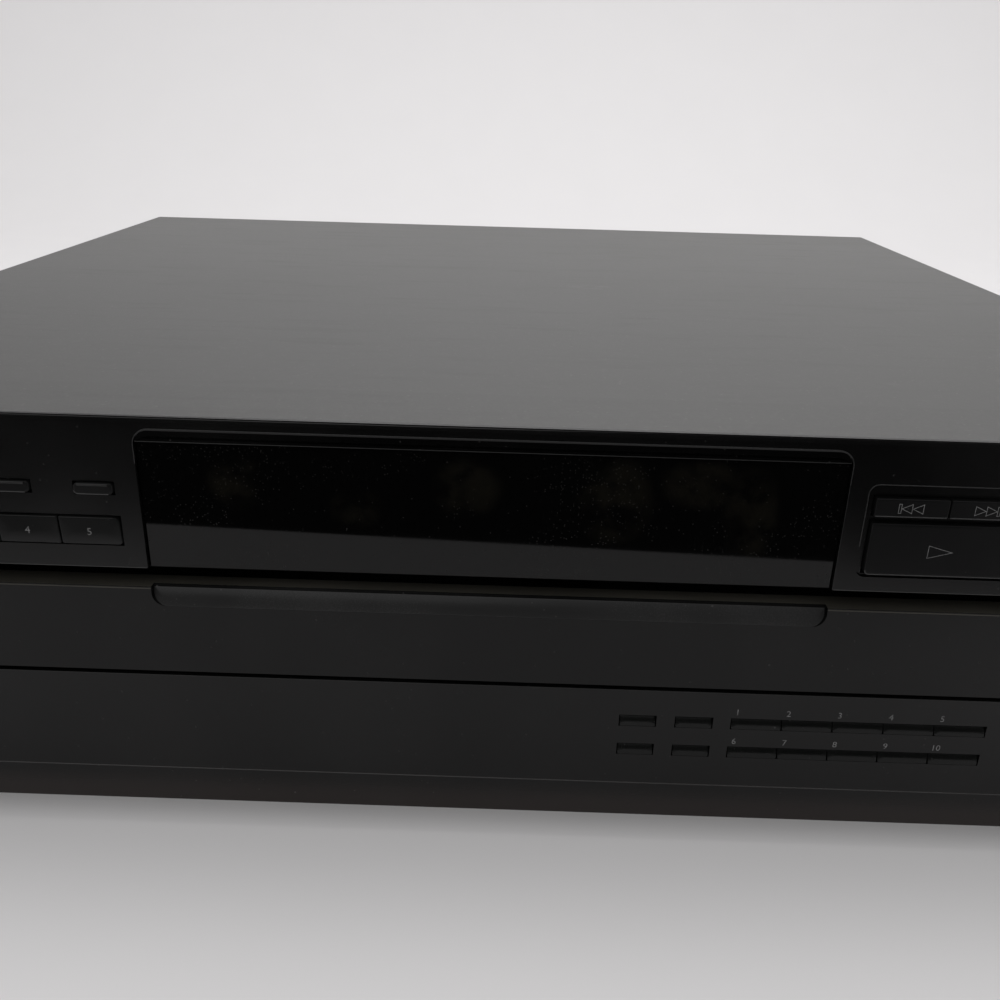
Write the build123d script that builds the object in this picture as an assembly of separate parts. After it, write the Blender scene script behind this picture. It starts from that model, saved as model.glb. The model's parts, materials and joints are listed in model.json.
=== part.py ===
from build123d import *
from collections import namedtuple
from math import cos, pi, radians, sin
import os

# A full-width five-disc carousel changer, in millimetres.
# While it is modelled, x = 0 is the middle, y = 0 the front face, y grows to the rear, and z = 0 is the
# surface that it stands on. save() then moves each piece so that the whole is centred front to back.

# Casing
WIDTH = 430.0
HEIGHT = 125.0
DEPTH = 384.0
FOOT_HEIGHT = 9.0
FOOT_RADIUS = 21.0
FOOT_PAD_RADIUS = 15.0
FOOT_PAD_HEIGHT = 1.5
FOOT_X = WIDTH / 2 - 50.0
FOOT_INSET_FRONT = 42.0
FOOT_INSET_REAR = 40.0
COVER_SHEET = 0.8
COVER_BEND = 3.0
COVER_CREASE = 26.5
COVER_CREASE_DROP = 0.35
COVER_REAR_FLANGE = 14.0
PAN_SHEET = 1.0
PAN_WALL_HEIGHT = 33.0
PAN_FRONT_FLANGE = 16.0
PAN_VENTS = 8
PAN_VENT_X = -60.0
PAN_VENT_START = 90.0
PAN_VENT_HALF_LENGTH = 22.0
VENT_PITCH = 9.0
VENT_HALF_WIDTH = 1.5
REAR_VENTS_PER_SIDE = 9
REAR_VENT_START = 70.0
REAR_VENT_Z = (74.0, 96.0)
REAR_SHEET = 1.0
GAP = 0.3
RUNNING = 0.05

# Front panel
LIP = 1.0
COVER_REVEAL = 0.3
FRONT_WALL = 3.0
PANEL_DEPTH = 15.5
SHELF = 2.5
LOWER_TOP = 51.2
LOWER_CREASE = 20.4
LOWER_CHAMFER_DEPTH = 2.7
FRONT_BOTTOM = FOOT_HEIGHT + 0.3
UPPER_BOTTOM = 83.4
BAND_WALL = 2.0
OPENING_SIDE_ROOM = 3.3
OPENING_LINTEL = 2.0
RECESS_HALF_WIDTH = 88.4
UPPER_STRETCH = (HEIGHT - UPPER_BOTTOM) / 41.6
SIDE_STRETCH = (WIDTH / 2 - RECESS_HALF_WIDTH) / 126.6


def upper_z(distance):
    """A height on the upper face, which keeps its share of that face if the casing's height changes."""
    return UPPER_BOTTOM + UPPER_STRETCH * distance


def side_x(distance):
    """A place beside the display recess, which keeps its share of that space if the width changes."""
    return RECESS_HALF_WIDTH + SIDE_STRETCH * distance


RECESS_TOP = upper_z(38.1)
RECESS_CORNER = 3.5
RECESS_DEPTH = 1.2
WINDOW_TOP = upper_z(34.6)
WINDOW_THICKNESS = 1.1
WINDOW_PORT_HALF_WIDTH = 76.0
WINDOW_PORT_BOTTOM = upper_z(6.6)
WINDOW_PORT_TOP = upper_z(30.6)
TUBE_MARGIN = 2.0

# Keys
KEY_GAP = 0.3
KEY_SPACING = 0.35
KEY_FLANGE = 0.7
KEY_FLANGE_THICKNESS = 1.0
KEY_PROUD = 0.8
ROW_KEY_PROUD = 0.1
KEY_EDGE = 0.3
KEY_STEM = 1.9
SWITCH_GAP = 0.8
SWITCH_PLUNGER = 0.8
BOARD_SHEET = 1.6
DISC_KEY_PITCH = 15.8 * SIDE_STRETCH
DISC_KEY_RIGHT = -side_x(5.6)
DISC_KEY_Z = (upper_z(6.5), upper_z(14.3))
MODE_KEY_PITCH = 21.0 * SIDE_STRETCH
MODE_KEY_X = (-side_x(16.1), -side_x(6.2))
MODE_KEY_Z = (upper_z(20.5), upper_z(23.6))
PLAY_X = (side_x(6.9), side_x(43.9))
PLAY_Z = (upper_z(5.1), upper_z(19.4))
SKIP_Z = (upper_z(21.2), upper_z(26.1))
TRANSPORT_RIGHT = side_x(81.6)
CLUSTER_X = (side_x(5.05), side_x(83.6))
CLUSTER_Z = (upper_z(4.1), upper_z(29.4))
CLUSTER_CORNER = 2.5
CLUSTER_DEPTH = 0.8
DISC_SKIP_X = (side_x(91.6), side_x(115.6))
DISC_SKIP_Z = (upper_z(12.6), upper_z(20.6))
POWER_X = (-side_x(116.6), -side_x(100.6))
POWER_Z = (upper_z(14.1), upper_z(23.6))
POWER_PROUD = 1.6
FUNCTION_X = ((36.9, 46.6), (52.2, 62.1))
NUMBER_LEFT = 67.5
NUMBER_PITCH = 13.93
NUMBERS_PER_ROW = 5
KEY_ROWS_Z = ((39.8, 42.8), (30.4, 33.5))

# Headphone socket and level knob
SOCKET_X = 25.0 - WIDTH / 2
SOCKET_Z = 36.0
SOCKET_BORE = 3.2
SOCKET_BORE_DEPTH = 30.0
SOCKET_BUSH = 5.0
SOCKET_RIM = 6.5
SOCKET_RIM_PROUD = 0.8
SOCKET_BODY = 14.0
KNOB_X = SOCKET_X + 30.0
KNOB_RADIUS = 6.0
KNOB_PROUD = 7.0
KNOB_SHAFT = 2.0
POT_BODY = 10.0
POT_DEPTH = 4.0

# Drawer, tray and carousel
DRAWER_HALF_WIDTH = WIDTH / 2 - 1.6
DRAWER_BOTTOM = 52.4
DRAWER_TOP = 77.9
DRAWER_THICKNESS = 12.5
DRAWER_WALL = 2.5
DRAWER_STEP_Y = 4.0
DRAWER_STEP_DROP = 0.6
SCOOP_HALF_WIDTH = 88.3
SCOOP_BOTTOM = 72.4
SCOOP_DEPTH = 2.2
SCOOP_CORNER = 3.5
TRAY_HALF_WIDTH = 183.0
TRAY_BOTTOM = 55.0
TRAY_TOP = 76.0
TRAY_FLOOR = 2.5
TRAY_WALL = 2.5
TRAY_DECK = 2.2
TRAY_TRAVEL = 250.0
DRUM_CLEARANCE = 1.7
DRUM_WALL = 2.0
DRUM_MARGIN = 0.5
TRAY_REAR_MARGIN = 2.5
NOTCH_HALF_WIDTH = 60.0
CAROUSEL_BOTTOM = 66.0
CAROUSEL_TOP = 72.0
WELL_COUNT = 5
WELL_RADIUS = 60.5
WELL_CIRCLE = 105.0
WELL_DEPTH = 3.5
SMALL_DISC_RADIUS = 40.5
SMALL_DISC_DEPTH = 1.0
SLOT_HALF_WIDTH = 18.0
SLOT_INNER = 37.0
HUB_PIN = 10.0
HUB_COLLAR = 18.0
HUB_ROOF = 2.5
BEARING_RIB_RADIUS = 30.0
BEARING_RIB_WALL = 3.0

# Gears
MODULE = 2.0
RIM_TEETH = 170
TABLE_GEAR_TEETH = 16
TABLE_PINION_TEETH = 10
TABLE_GEAR_DIRECTION = 225.0
TABLE_PINION_TEETH_ROUND = 6
GEAR_BOTTOM = 66.5
GEAR_TOP = 72.5
GEAR_PIN = 3.0
GEAR_BOSS = 5.0
LOADING_TEETH = 12
LOADING_X = -156.0
LOADING_Y = 40.0
LOADING_WHEEL = 22.0
LOADING_WHEEL_Z = (47.0, 50.5)
LOADING_MOTOR_X = -96.0
LOADING_MOTOR_PULLEY = 5.0
PULLEY_FLANGE = 1.5
PULLEY_FLANGE_THICKNESS = 0.6
BELT_THICKNESS = 1.6
MOTOR_RADIUS = 12.0
MOTOR_HEIGHT = 26.0
TABLE_MOTOR_HEIGHT = 8.0
MOTOR_SHAFT = 1.0
RACK_BACK = 3.0
RACK_BOTTOM = 51.9

# Deck and rails
DECK_Z = (44.0, 46.5)
DECK_SIDE_SHARE = 0.11
DECK_FRONT = 22.0
DECK_REAR = DEPTH - 6.0
RAIL_GAP = 0.5
RAIL_WEB = 3.5
RAIL_LIP_BOTTOM = 7.5
RAIL_LIP_TOP = 5.5
RAIL_LIP = 2.2
LEG_SHARES = (0.04, 0.41)
LEG_FRONT_Y = (50.0, 70.0)
LEG_REAR_Y = (DEPTH - 44.0, DEPTH - 24.0)

# Optical base unit, drawn raised and then lowered about its rear hinge
HINGE_Y = DEPTH - 13.0
HINGE_Z = 58.5
HINGE_PIN = 2.5
LIFT_ANGLE = 9.0
BASE_HALF_WIDTH = 46.0
BASE_FRONT = 222.0
BASE_REAR = DEPTH - 7.0
BASE_THICKNESS = 5.0
BASE_OPENING_HALF_WIDTH = 31.0
BASE_OPENING_Y = (226.2, 279.5)
EAR_X = (49.0, 57.0)
EAR_Y = (DEPTH - 20.0, DEPTH - 6.0)
EAR_TOP = 64.0
ROD_RADIUS = 2.0
ROD_X = 26.0
ROD_CLEARANCE = 0.1
LENS_START = 24.0
SLED_HALF_WIDTH = 30.0
SLED_HALF_LENGTH = 8.5
SLED_Z = (54.5, 62.5)
TOWER_HALF_WIDTH = 12.0
TOWER_HALF_LENGTH = 7.0
TOWER_TOP = 71.0
LENS_RADIUS = 3.0
LENS_HEIGHT = 1.0
PLATTER_RADIUS = 15.0
PLATTER_Z = (70.5, 73.5)
PLATTER_BOSS = 7.4
PLATTER_BOSS_TOP = 76.0
PLATTER_STEM = 4.0
SPINDLE_SHAFT = 1.5
SPINDLE_MOTOR = 14.0
SPINDLE_MOTOR_BOTTOM = 50.0
LIFT_TAB_HALF_WIDTH = 8.0
LIFT_TAB_THICKNESS = 3.5
LIFT_TAB_BOTTOM = 44.0
LIFT_PIN = 2.0
LIFT_PIN_Z = 48.0
LIFT_PIN_LENGTH = 9.0

# Lift slide and its channel
SLIDE_Y = (217.0, 219.0)
SLIDE_Z = (18.0, 54.0)
SLIDE_MARGIN = 5.0
SLIDE_SLOT_CLEARANCE = 0.6
CHANNEL_HALF_WIDTH = 66.0
CHANNEL_Y = (209.0, 222.0)
CHANNEL_Z = (15.0, 20.5)
CHANNEL_WALL = 3.5

# Clamp
BRIDGE_HALF_WIDTH = 28.0
BRIDGE_Z = 84.0
BRIDGE_SHEET = 1.2
BRIDGE_FLANGE = 5.0
BRIDGE_HOLE = 13.0
BRIDGE_POST_SHARE = 0.37
CLAMP_RADIUS = 15.0
CLAMP_NECK = 12.0
CLAMP_CAP = 16.0
CLAMP_BOTTOM = 75.0
CLAMP_DISC_TOP = 80.0
CLAMP_CAP_THICKNESS = 2.0
CLAMP_RECESS = 8.5
CLAMP_RECESS_DEPTH = 3.0

# Electrics
BOARD_X = (CHANNEL_HALF_WIDTH, WIDTH / 2 - 31.0)
BOARD_Y = (60.0, DEPTH - 12.0)
BOARD_LIFT = 6.0
STANDOFF_RADIUS = 3.0
STANDOFF_INSET = 6.0
LINE_OUT_X = (120.0, 138.0)
LINE_OUT_Z = 30.0
LINE_OUT_SHELL = 4.15
LINE_OUT_COLLAR = 5.5
LINE_OUT_COLLAR_PROUD = 1.0
LINE_OUT_PIN_BORE = 1.6
LINE_OUT_PROUD = 9.0
LINE_OUT_HOUSING_TOP = 38.0
LINE_OUT_HOUSING_MARGIN = 9.0
LINE_OUT_HOUSING_DEPTH = 20.0
OPTICAL_X = (156.0, 168.0)
OPTICAL_TOP = 34.0
OPTICAL_BOTTOM = 22.0
OPTICAL_PROUD = 1.5
GLAND_X = 40.0 - WIDTH / 2
GLAND_Z = 30.0
GLAND_NECK = 5.7
GLAND_RIM = 8.0
GLAND_BORE = 3.5
GLAND_PROUD = 5.0
TRANSFORMER_X = (40.0 - WIDTH / 2, 100.0 - WIDTH / 2)
TRANSFORMER_Y = (DEPTH - 84.0, DEPTH - 39.0)
TRANSFORMER_TOP = 42.0
TRANSFORMER_COIL_PROUD = 10.0
TRANSFORMER_BRACKET = 1.2

# Screws
SCREW_HEAD = 3.8
SCREW_HEAD_HEIGHT = 1.6
SCREW_SHANK = 1.5
SCREW_LENGTH = 8.0
SCREW_CLEARANCE = 0.3
SIDE_SCREW_Y = (100.0, DEPTH - 84.0)
SIDE_SCREW_Z = 24.0
REAR_SCREW_X = (65.0 - WIDTH / 2, 0.0, WIDTH / 2 - 65.0)

# Places worked out from the sizes above
COVER_FRONT = LIP + COVER_REVEAL
COVER_UNDER = HEIGHT - COVER_SHEET
INNER_HALF_WIDTH = WIDTH / 2 - COVER_SHEET - GAP
PAN_FLOOR_TOP = FOOT_HEIGHT + PAN_SHEET
REAR_OUTSIDE = DEPTH - COVER_SHEET
REAR_INSIDE = REAR_OUTSIDE - REAR_SHEET
BAND_FRONT = PANEL_DEPTH - BAND_WALL
OPENING_HALF_WIDTH = TRAY_HALF_WIDTH + OPENING_SIDE_ROOM
KEY_FLANGE_Y = FRONT_WALL + GAP
KEY_STEM_END = KEY_FLANGE_Y + KEY_FLANGE_THICKNESS + KEY_STEM
SWITCH_TIP = KEY_STEM_END + SWITCH_GAP
FRONT_BOARD_Y = SWITCH_TIP + 2 * SWITCH_PLUNGER + 0.4
RIM_RADIUS = RIM_TEETH * MODULE / 2
TIP_HEIGHT = 0.9 * MODULE
ROOT_DEPTH = 1.15 * MODULE
DRUM_RADIUS = RIM_RADIUS + TIP_HEIGHT + DRUM_CLEARANCE
DRUM_OUTER = DRUM_RADIUS + DRUM_WALL
CAROUSEL_Y = DRAWER_THICKNESS + DRUM_OUTER + DRUM_MARGIN
TRAY_REAR = CAROUSEL_Y + DRUM_OUTER + TRAY_REAR_MARGIN
TRAY_FLOOR_TOP = TRAY_BOTTOM + TRAY_FLOOR
SPINDLE_Y = CAROUSEL_Y + WELL_CIRCLE
NOTCH_FRONT = CHANNEL_Y[0] - 1.0
RAIL_INNER = TRAY_HALF_WIDTH + RAIL_GAP
RAIL_OUTER = RAIL_INNER + RAIL_WEB
SIDE_ROOM = INNER_HALF_WIDTH - RAIL_OUTER
DECK_HALF_WIDTH = RAIL_OUTER + DECK_SIDE_SHARE * SIDE_ROOM
LEG_X = tuple(RAIL_OUTER + share * SIDE_ROOM for share in LEG_SHARES)
BRIDGE_POST = BRIDGE_POST_SHARE * SIDE_ROOM
RAIL_TOP = TRAY_TOP + GAP + RAIL_LIP
RACK_PITCH_X = LOADING_X - LOADING_TEETH * MODULE / 2
BASE_Z = (HINGE_Z - BASE_THICKNESS / 2, HINGE_Z + BASE_THICKNESS / 2)
LENS_Y = SPINDLE_Y - LENS_START
TABLE_GEAR_PITCH = 360 / TABLE_GEAR_TEETH
TABLE_PINION_DIRECTION = TABLE_GEAR_DIRECTION - 180 + TABLE_GEAR_PITCH * (TABLE_PINION_TEETH_ROUND + 0.5)
BOARD_BOTTOM = PAN_FLOOR_TOP + BOARD_LIFT
BOARD_TOP = BOARD_BOTTOM + BOARD_SHEET
REAR_SCREW_Z = HEIGHT - COVER_REAR_FLANGE / 2
CENTRE_SHIFT = (KNOB_PROUD - REAR_OUTSIDE - LINE_OUT_PROUD) / 2

Key = namedtuple("Key", "x z proud")


def block(x_range, y_range, z_range):
    """A box between two corners, each range being (low, high)."""
    ranges = (x_range, y_range, z_range)
    size = [high - low for low, high in ranges]
    middle = [(high + low) / 2 for low, high in ranges]
    return Pos(*middle) * Box(*size)


def wide(half_width):
    """The range from minus to plus a half width."""
    return (-half_width, half_width)


def around(middle, half):
    """The range of a half size about a middle."""
    return (middle - half, middle + half)


def post(x, y, radius, z_range):
    """A round bar along z."""
    low, high = z_range
    return Pos(x, y, (low + high) / 2) * Cylinder(radius, high - low)


def bar_y(x, z, radius, y_range):
    """A round bar along y."""
    low, high = y_range
    return Pos(x, (low + high) / 2, z) * Rot(90, 0, 0) * Cylinder(radius, high - low)


def bar_x(y, z, radius, x_range):
    """A round bar along x."""
    low, high = x_range
    return Pos((low + high) / 2, y, z) * Rot(0, 90, 0) * Cylinder(radius, high - low)


def prism_x(points, x_range):
    """A straight prism along x from (y, z) corners."""
    low, high = x_range
    return extrude(Plane.YZ.offset(low) * Polygon(*points, align=None), high - low)


def prism_y(outline, y_range):
    """A straight prism along y from an outline drawn in x and z."""
    low, high = y_range
    return extrude(Plane.XZ.offset(-high) * outline, high - low)


def prism_z(outline, z_range):
    """A straight prism along z from an outline drawn in x and y."""
    low, high = z_range
    return extrude(Plane.XY.offset(low) * outline, high - low)


def round_hull(start, start_radius, end, end_radius):
    """The outline that a band takes round two circles."""
    first = Pos(*start) * Circle(start_radius)
    second = Pos(*end) * Circle(end_radius)
    return make_hull(first.edges() + second.edges())


def rounded_top(box, radius):
    """A box with its two upper edges that run front to back rounded."""
    return fillet(box.edges().filter_by(Axis.Y).group_by(Axis.Z)[-1], radius)


def both_sides(shape):
    """A shape and its mirror image across the middle."""
    return shape + mirror(shape, Plane.YZ)


def polar(radius, angle):
    """The x and y offsets of a point at an angle in degrees."""
    return (radius * cos(radians(angle)), radius * sin(radians(angle)))


# Half the width of a tooth, as a share of the pitch, at its root, its pitch line and its tip.
TOOTH_HALF_WIDTHS = (0.27, 0.19, 0.09)


def gear_outline(teeth, tooth_angle):
    """A spur gear's outline with one tooth centred at an angle in degrees."""
    pitch_radius = teeth * MODULE / 2
    radii = (pitch_radius - ROOT_DEPTH, pitch_radius, pitch_radius + TIP_HEIGHT)
    flank = list(zip(radii, TOOTH_HALF_WIDTHS))
    points = []
    for index in range(teeth):
        middle = tooth_angle + 360 * index / teeth
        for radius, half in flank:
            points.append(polar(radius, middle - 360 * half / teeth))
        for radius, half in reversed(flank):
            points.append(polar(radius, middle + 360 * half / teeth))
    return Polygon(*points, align=None)


def rack_outline(tooth_y, low_y, high_y):
    """A rack's outline, teeth towards +x, with one tooth centred at tooth_y."""
    pitch = pi * MODULE
    depths = (-ROOT_DEPTH, 0.0, TIP_HEIGHT)
    flank = list(zip(depths, TOOTH_HALF_WIDTHS))
    back = RACK_PITCH_X - ROOT_DEPTH - RACK_BACK
    first = int((low_y - tooth_y) / pitch) + 1
    last = int((high_y - tooth_y) / pitch) - 1
    points = [(back, low_y), (RACK_PITCH_X - ROOT_DEPTH, low_y)]
    for index in range(first, last + 1):
        middle = tooth_y + index * pitch
        for depth, half in flank:
            points.append((RACK_PITCH_X + depth, middle - half * pitch))
        for depth, half in reversed(flank):
            points.append((RACK_PITCH_X + depth, middle + half * pitch))
    points += [(RACK_PITCH_X - ROOT_DEPTH, high_y), (back, high_y)]
    return Polygon(*points, align=None)


def rows_of_keys():
    """Every key's name, its ranges in x and z, and how far it stands proud."""
    keys = {"power_key": Key(POWER_X, POWER_Z, POWER_PROUD)}
    for number in range(1, WELL_COUNT + 1):
        right = DISC_KEY_RIGHT - DISC_KEY_PITCH * (WELL_COUNT - number)
        left = right - DISC_KEY_PITCH + KEY_SPACING
        keys[f"disc_{number}_key"] = Key((left, right), DISC_KEY_Z, KEY_PROUD)
    for place, name in enumerate(("repeat_key", "random_key")):
        x_range = tuple(edge - place * MODE_KEY_PITCH for edge in MODE_KEY_X)
        keys[name] = Key(x_range, MODE_KEY_Z, KEY_PROUD)
    play_middle = sum(PLAY_X) / 2
    right_middle = (PLAY_X[1] + TRANSPORT_RIGHT) / 2
    half_space = KEY_SPACING / 2
    top_edges = (PLAY_X[0] - half_space, play_middle, PLAY_X[1] + half_space, right_middle)
    top_edges += (TRANSPORT_RIGHT + half_space,)
    top_names = ("skip_back_key", "skip_forward_key", "pause_key", "stop_key")
    for name, left, right in zip(top_names, top_edges, top_edges[1:]):
        keys[name] = Key((left + half_space, right - half_space), SKIP_Z, KEY_PROUD)
    keys["play_key"] = Key(PLAY_X, PLAY_Z, KEY_PROUD)
    open_x = (PLAY_X[1] + KEY_SPACING, TRANSPORT_RIGHT)
    keys["open_close_key"] = Key(open_x, PLAY_Z, KEY_PROUD)
    keys["disc_skip_key"] = Key(DISC_SKIP_X, DISC_SKIP_Z, KEY_PROUD)
    for row, z_range in enumerate(KEY_ROWS_Z):
        for column, x_range in enumerate(FUNCTION_X):
            number = 1 + column + row * len(FUNCTION_X)
            keys[f"function_{number}_key"] = Key(x_range, z_range, ROW_KEY_PROUD)
        for column in range(NUMBERS_PER_ROW):
            left = NUMBER_LEFT + column * NUMBER_PITCH
            number = 1 + column + row * NUMBERS_PER_ROW
            x_range = (left, left + NUMBER_PITCH - KEY_SPACING)
            keys[f"number_{number}_key"] = Key(x_range, z_range, ROW_KEY_PROUD)
    return keys


KEYS = rows_of_keys()


def key_slot(names):
    """The opening in the front wall for one key or a strip of keys."""
    x_low = min(KEYS[name].x[0] for name in names) - KEY_GAP
    x_high = max(KEYS[name].x[1] for name in names) + KEY_GAP
    z_low, z_high = KEYS[names[0]].z
    return block((x_low, x_high), (-LIP, FRONT_WALL + LIP), (z_low - KEY_GAP, z_high + KEY_GAP))


def key_slots():
    """All the openings that keys stand in."""
    strips = [
        [f"disc_{number}_key" for number in range(1, WELL_COUNT + 1)],
        ["skip_back_key", "skip_forward_key", "pause_key", "stop_key"],
        ["play_key", "open_close_key"],
        [f"number_{number}_key" for number in range(1, NUMBERS_PER_ROW + 1)],
        [f"number_{number}_key" for number in range(NUMBERS_PER_ROW + 1, 2 * NUMBERS_PER_ROW + 1)],
    ]
    in_strips = {name for strip in strips for name in strip}
    singles = [[name] for name in KEYS if name not in in_strips]
    return [key_slot(names) for names in strips + singles]


def board_bosses():
    """Where the front boards are held, as (x, z)."""
    outer = WIDTH / 2 - 35.0
    upper = [(x, WINDOW_TOP + 0.5) for x in (-outer, 0.0, outer)]
    lower = [(-120.0, SOCKET_Z), (20.0, SOCKET_Z), (160.0, SOCKET_Z)]
    return upper + lower


def make_chassis_base():
    """The folded steel pan, with its vents and the main board's standoffs."""
    pan_top = FOOT_HEIGHT + PAN_WALL_HEIGHT
    outside = block(wide(INNER_HALF_WIDTH), (PANEL_DEPTH, REAR_INSIDE), (FOOT_HEIGHT, pan_top))
    hollow = block(
        wide(INNER_HALF_WIDTH - PAN_SHEET),
        (PANEL_DEPTH + PAN_SHEET, REAR_INSIDE + PAN_SHEET),
        (PAN_FLOOR_TOP, pan_top + PAN_SHEET),
    )
    pan = outside - hollow
    pan -= block(
        wide(INNER_HALF_WIDTH + PAN_SHEET),
        (PANEL_DEPTH - PAN_SHEET, PANEL_DEPTH + PAN_SHEET),
        (FOOT_HEIGHT + PAN_FRONT_FLANGE, pan_top + PAN_SHEET),
    )
    for row in range(PAN_VENTS):
        vent_y = around(PAN_VENT_START + VENT_PITCH * row, VENT_HALF_WIDTH)
        pan -= block(around(PAN_VENT_X, PAN_VENT_HALF_LENGTH), vent_y, (FOOT_HEIGHT - 1, PAN_FLOOR_TOP + 1))
    for x in (BOARD_X[0] + STANDOFF_INSET, BOARD_X[1] - STANDOFF_INSET):
        for y in (BOARD_Y[0] + STANDOFF_INSET, BOARD_Y[1] - 5 * STANDOFF_INSET):
            pan += post(x, y, STANDOFF_RADIUS, (FOOT_HEIGHT + PAN_SHEET / 2, BOARD_BOTTOM))
    for side in (-1, 1):
        for y in SIDE_SCREW_Y:
            pan -= bar_x(y, SIDE_SCREW_Z, SCREW_SHANK + RUNNING, around(side * INNER_HALF_WIDTH, 4.0))
    return pan


def make_rear_panel():
    """The rear sheet with its cut-outs."""
    panel = block(wide(INNER_HALF_WIDTH), (REAR_INSIDE, REAR_OUTSIDE), (FOOT_HEIGHT, COVER_UNDER - GAP))
    panel = rounded_top(panel, COVER_BEND - COVER_SHEET)
    through = (REAR_INSIDE - 1, REAR_OUTSIDE + 1)
    for x in LINE_OUT_X:
        panel -= bar_y(x, LINE_OUT_Z, LINE_OUT_COLLAR + GAP, through)
    panel -= block(
        (OPTICAL_X[0] - GAP, OPTICAL_X[1] + GAP), through, (OPTICAL_BOTTOM - GAP, OPTICAL_TOP + GAP)
    )
    panel -= bar_y(GLAND_X, GLAND_Z, GLAND_NECK + GAP, through)
    for x in REAR_SCREW_X:
        panel -= bar_y(x, REAR_SCREW_Z, SCREW_SHANK + RUNNING, through)
    for side in (-1, 1):
        for column in range(REAR_VENTS_PER_SIDE):
            x = side * (REAR_VENT_START + VENT_PITCH * column)
            panel -= block(around(x, VENT_HALF_WIDTH), through, REAR_VENT_Z)
    return panel


def make_top_cover():
    """The U-shaped steel cover with its faint front crease and rear flange."""
    outside = block(wide(WIDTH / 2), (COVER_FRONT, DEPTH), (FOOT_HEIGHT, HEIGHT))
    hollow = block(wide(WIDTH / 2 - COVER_SHEET), (0, REAR_OUTSIDE), (FOOT_HEIGHT - 1, COVER_UNDER))
    cover = rounded_top(outside, COVER_BEND) - rounded_top(hollow, COVER_BEND - COVER_SHEET)
    below_flange = (0, HEIGHT - COVER_REAR_FLANGE)
    cover -= block(wide(WIDTH / 2 - COVER_SHEET), (REAR_OUTSIDE - 1, DEPTH + 1), below_flange)
    crease = [
        (COVER_FRONT - 1, HEIGHT + 1),
        (COVER_FRONT - 1, HEIGHT - COVER_CREASE_DROP),
        (COVER_FRONT, HEIGHT - COVER_CREASE_DROP),
        (COVER_CREASE, HEIGHT),
        (COVER_CREASE, HEIGHT + 1),
    ]
    cover -= prism_x(crease, wide(WIDTH / 2 + 1))
    screw_hole = SCREW_SHANK + SCREW_CLEARANCE
    for side in (-1, 1):
        for y in SIDE_SCREW_Y:
            cover -= bar_x(y, SIDE_SCREW_Z, screw_hole, around(side * WIDTH / 2, 3.0))
    for x in REAR_SCREW_X:
        cover -= bar_y(x, REAR_SCREW_Z, screw_hole, (REAR_OUTSIDE - 0.5, DEPTH + 1))
    return cover


def make_front_panel():
    """The moulded front: upper and lower faces, a set-back band and the drawer's opening."""
    top = COVER_UNDER - GAP
    lip = block(wide(WIDTH / 2), (0, LIP), (FRONT_BOTTOM, HEIGHT - COVER_CREASE_DROP))
    body = block(wide(INNER_HALF_WIDTH), (0, PANEL_DEPTH), (FRONT_BOTTOM, top - COVER_CREASE_DROP))
    panel = rounded_top(lip, COVER_BEND) + rounded_top(body, COVER_BEND - COVER_SHEET)
    panel -= block(
        wide(INNER_HALF_WIDTH - SHELF),
        (FRONT_WALL, PANEL_DEPTH + 1),
        (UPPER_BOTTOM + SHELF, top - COVER_CREASE_DROP - SHELF / 2),
    )
    slope = LOWER_CHAMFER_DEPTH / (LOWER_CREASE - FRONT_BOTTOM)
    cavity_floor = FRONT_BOTTOM + SHELF / 2
    cavity_toe = FRONT_WALL + slope * (LOWER_CREASE - cavity_floor)
    cavity = [
        (FRONT_WALL, LOWER_TOP - SHELF),
        (FRONT_WALL, LOWER_CREASE),
        (cavity_toe, cavity_floor),
        (PANEL_DEPTH + 1, cavity_floor),
        (PANEL_DEPTH + 1, LOWER_TOP - SHELF),
    ]
    panel -= prism_x(cavity, wide(INNER_HALF_WIDTH - SHELF))
    toe = [
        (-1, LOWER_CREASE),
        (0, LOWER_CREASE),
        (LOWER_CHAMFER_DEPTH + slope, FRONT_BOTTOM - 1),
        (-1, FRONT_BOTTOM - 1),
    ]
    panel -= prism_x(toe, wide(WIDTH / 2 + 1))
    panel -= block(wide(WIDTH / 2 + 1), (-1, BAND_FRONT), (LOWER_TOP, UPPER_BOTTOM))
    opening_z = (LOWER_TOP, UPPER_BOTTOM - OPENING_LINTEL)
    panel -= block(wide(OPENING_HALF_WIDTH), (BAND_FRONT - 1, PANEL_DEPTH + 1), opening_z)
    panel -= display_recess()
    panel -= block(
        wide(WINDOW_PORT_HALF_WIDTH), (-1, FRONT_WALL + 1), (WINDOW_PORT_BOTTOM, WINDOW_PORT_TOP)
    )
    cluster_size = (CLUSTER_X[1] - CLUSTER_X[0], CLUSTER_Z[1] - CLUSTER_Z[0])
    cluster = Pos(sum(CLUSTER_X) / 2, sum(CLUSTER_Z) / 2) * RectangleRounded(*cluster_size, CLUSTER_CORNER)
    panel -= prism_y(cluster, (-1, CLUSTER_DEPTH))
    for x, z in board_bosses():
        panel += bar_y(x, z, STANDOFF_RADIUS, (FRONT_WALL - 0.5, FRONT_BOARD_Y))
    for slot in key_slots():
        panel -= slot
    panel -= bar_y(SOCKET_X, SOCKET_Z, SOCKET_BUSH + GAP, (-1, FRONT_WALL + 1))
    panel -= bar_y(KNOB_X, SOCKET_Z, KNOB_SHAFT + GAP, (-1, FRONT_WALL + 1))
    return panel


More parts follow.
